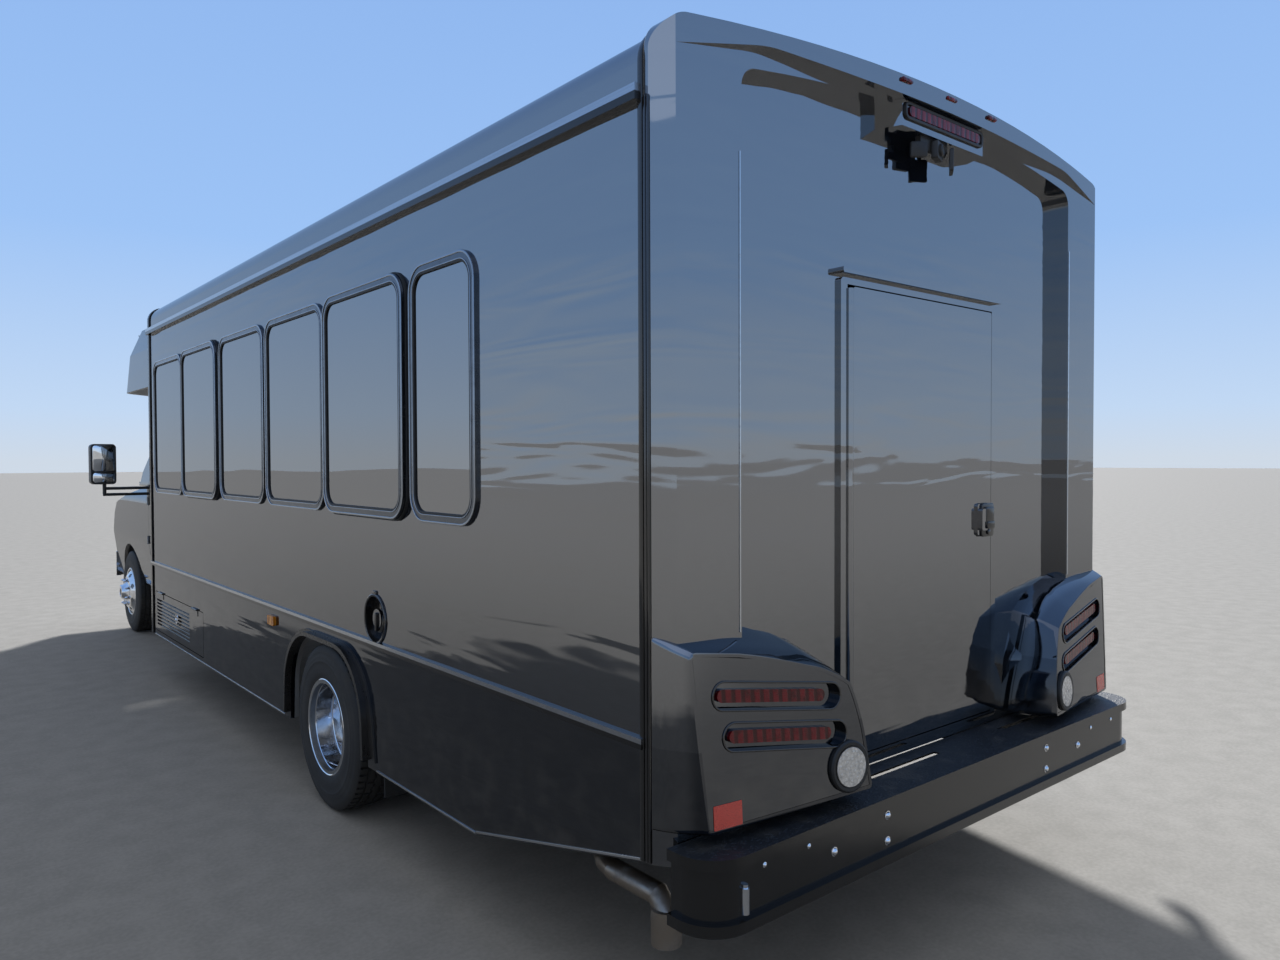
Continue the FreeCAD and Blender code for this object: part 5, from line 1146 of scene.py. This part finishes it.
def pad(name, width, depth, thick):
    """A crowned pad about the origin, from a block that is blown up as cloth."""
    mesh = bmesh.new()
    ops.create_cube(mesh, size=1.0)
    ops.scale(mesh, vec=(width, depth, thick), verts=mesh.verts[:])
    ops.subdivide_edges(mesh, edges=mesh.edges[:], cuts=3, use_grid_fill=True)
    chamfer(mesh, [e for e in mesh.edges if e.calc_face_angle(0) > 1.0], thick * 0.28, 3)
    data = bpy.data.meshes.new(name)
    mesh.to_mesh(data)
    mesh.free()
    made = show(name, data)
    bpy.context.view_layer.objects.active = made
    remesh = made.modifiers.new("remesh", "REMESH")
    remesh.mode, remesh.voxel_size = "VOXEL", PAD_VOXEL
    bpy.ops.object.modifier_apply(modifier="remesh")
    start = [v.co.copy() for v in made.data.vertices]
    blown = start
    cloth = made.modifiers.new("cloth", "CLOTH")
    cloth.settings.use_pressure, cloth.settings.uniform_pressure_force = True, 4.0
    cloth.settings.effector_weights.gravity = 0.0
    for step in range(1, PAD_STEPS + 1):
        bpy.context.scene.frame_set(step)
    graph = bpy.context.evaluated_depsgraph_get()
    blown = [v.co.copy() for v in made.evaluated_get(graph).data.vertices]
    made.modifiers.remove(cloth)
    bpy.context.scene.frame_set(1)
    for vert, old, new in zip(made.data.vertices, start, blown):
        move = new - old
        vert.co = old + move * min(1.0, PAD_CAP / max(move.length, 1e-9))
    shape = bmesh.new()
    shape.from_mesh(made.data)
    ops.smooth_vert(shape, verts=shape.verts[:], factor=0.5, use_axis_x=True, use_axis_y=True,
                    use_axis_z=True)
    bpy.data.objects.remove(made)
    return shape


def spread(name, shape, places):
    """Copies of a shape at every place, as one piece."""
    pads, data = bmesh.new(), bpy.data.meshes.new("pad")
    shape.to_mesh(data)
    for place in places:
        copy = data.copy()
        copy.transform(place)
        pads.from_mesh(copy)
    made = piece(name, pads, "seat_cloth", "seats", sharp=80)


# %% [markdown]
# The benches stand in rows, two pads a side, and end on the right where the entry begins. Two
# single seats stand in the cab.

# %% Seat places
ROWS = [3.668 - 0.76 * row for row in range(6)]
FLOOR, CAB_FLOOR, SEAT_RISE = 0.83, 0.73, 0.33
BACK_LEAN = math.atan2(0.11, 0.62)
benches = [(side * x, back, FLOOR) for back in ROWS for side in (1, -1) for x in (0.475, 0.905)
           if side > 0 or back - 0.52 > 0]
cab_seats = [(side * 0.45, -1.742, CAB_FLOOR) for side in (1, -1)]


def cushion_place(x, back, floor):
    return moved(x, back - 0.262, floor + SEAT_RISE + 0.062)


def back_place(x, back, floor):
    return (moved(x, back + 0.044, floor + SEAT_RISE + 0.355)
            @ Matrix.Rotation(math.pi / 2 - BACK_LEAN, 4, "X"))


for name, size, where in (("cushions", (0.385, 0.42, 0.085), cushion_place),
                          ("back_rests", (0.385, 0.56, 0.075), back_place)):
    shape = pad(name, *size)
    spread("bench_" + name, shape, [where(*spot) for spot in benches])
    spread("cab_seat_" + name, shape, [where(*spot) for spot in cab_seats])

# %% [markdown]
# The frames are plain: a plate under each cushion, four tube legs, and two tubes up the back.

# %% Seat frames
mesh = bmesh.new()
for x, back, floor in benches + cab_seats:
    top = floor + SEAT_RISE
    plate(mesh, at((x, back - 0.262, top - 0.004), (0, 0, 1), (0, 1, 0)), 0.36, 0.40, 0.012, 0.03, 0.002)
    for tube in (x - 0.15, x + 0.15):
        for ahead in (0.11, 0.35):
            rod(mesh, (tube, back - ahead, floor + 0.004), (tube, back - ahead, top), 0.014)
        rod(mesh, (tube, back - 0.11, top + 0.002), (tube, back + 0.075, top + 0.60), 0.012)
frames = piece("seat_frames", mesh, "chassis_black", "seats")
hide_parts("seats")

# %% [markdown]
# ## Floor, sky and light
# The stage is a wide pale floor under a soft pale sky that is a little bluer overhead, which is
# what the paint and the glass mirror. The floor can't be seen from below, so that the underside
# can. A low sun and one large soft lamp overhead give the shadows, and the world's plain light
# does the rest.

# %% Stage
mesh = bmesh.new()
ops.create_grid(mesh, x_segments=1, y_segments=1, size=150)
data = bpy.data.meshes.new("studio_floor")
mesh.to_mesh(data)
mesh.free()
ground = show("studio_floor", data)
stone = Finish("studio_floor", Roughness=0.9)
speck = stone.between(stone.noise(60, 6.0) * 0.5 + stone.noise(7, 4.0) * 0.5, 0.3, 0.7)
stone.feed(Base_Color=stone.mix(speck, (0.40, 0.395, 0.385), (0.50, 0.495, 0.485)),
           Alpha=1 - stone.node("NewGeometry", out="Backfacing"))
data.materials.append(looks["studio_floor"])

world = bpy.context.scene.world = bpy.data.worlds.new("sky")
world.use_nodes = True
sky = Graph(world.node_tree)
up = sky.node("SeparateXYZ", {}, {0: sky.node("TexCoord", out="Generated")}, out="Z")
ramp = sky.node("ValToRGB", {}, {0: up})
stops = [(0.0, (0.62, 0.70, 0.80)), (0.05, (0.54, 0.69, 0.90)), (0.22, (0.34, 0.55, 0.92)),
         (0.7, (0.22, 0.40, 0.80))]
elements = ramp.socket.node.color_ramp.elements
while len(elements) < len(stops):
    elements.new(0.5)
for element, (place, colour) in zip(elements, stops):
    element.position, element.color = place, (*colour, 1)
seen = sky.node("Background", {}, {"Color": ramp, "Strength": 1.0})
plain = sky.node("Background", {}, {"Color": (0.93, 0.96, 1.0), "Strength": 0.26})
mask = sky.node("LightPath", out="Is Camera Ray")
for name in ("Is Glossy Ray", "Is Transmission Ray"):
    mask = mask.math("MAXIMUM", mask, sky.node("LightPath", out=name))
both = sky.node("MixShader", {}, {0: mask, 1: plain, 2: seen})
sky.put(sky.tree.nodes["World Output"].inputs[0], both)


def add_light(kind, name, spot, toward, power, **settings):
    """A light at a spot, that shines along a direction."""
    data = bpy.data.lights.new(name, kind)
    for key, value in dict(settings, energy=power).items():
        setattr(data, key, value)
    light = show(name, data)
    light.location = spot
    light.rotation_euler = Vector(toward).to_track_quat("-Z", "Y").to_euler()


add_light("AREA", "soft_overhead", (3, 5, 8), (-3, -4, -7), 60, shape="RECTANGLE", size=6, size_y=10)
add_light("SUN", "low_sun", (0, 0, 0), (0.74, 0.70, -0.60), 4.2, angle=math.radians(5),
          color=(1.0, 0.97, 0.92))
bpy.context.scene.view_settings.view_transform = "Standard"
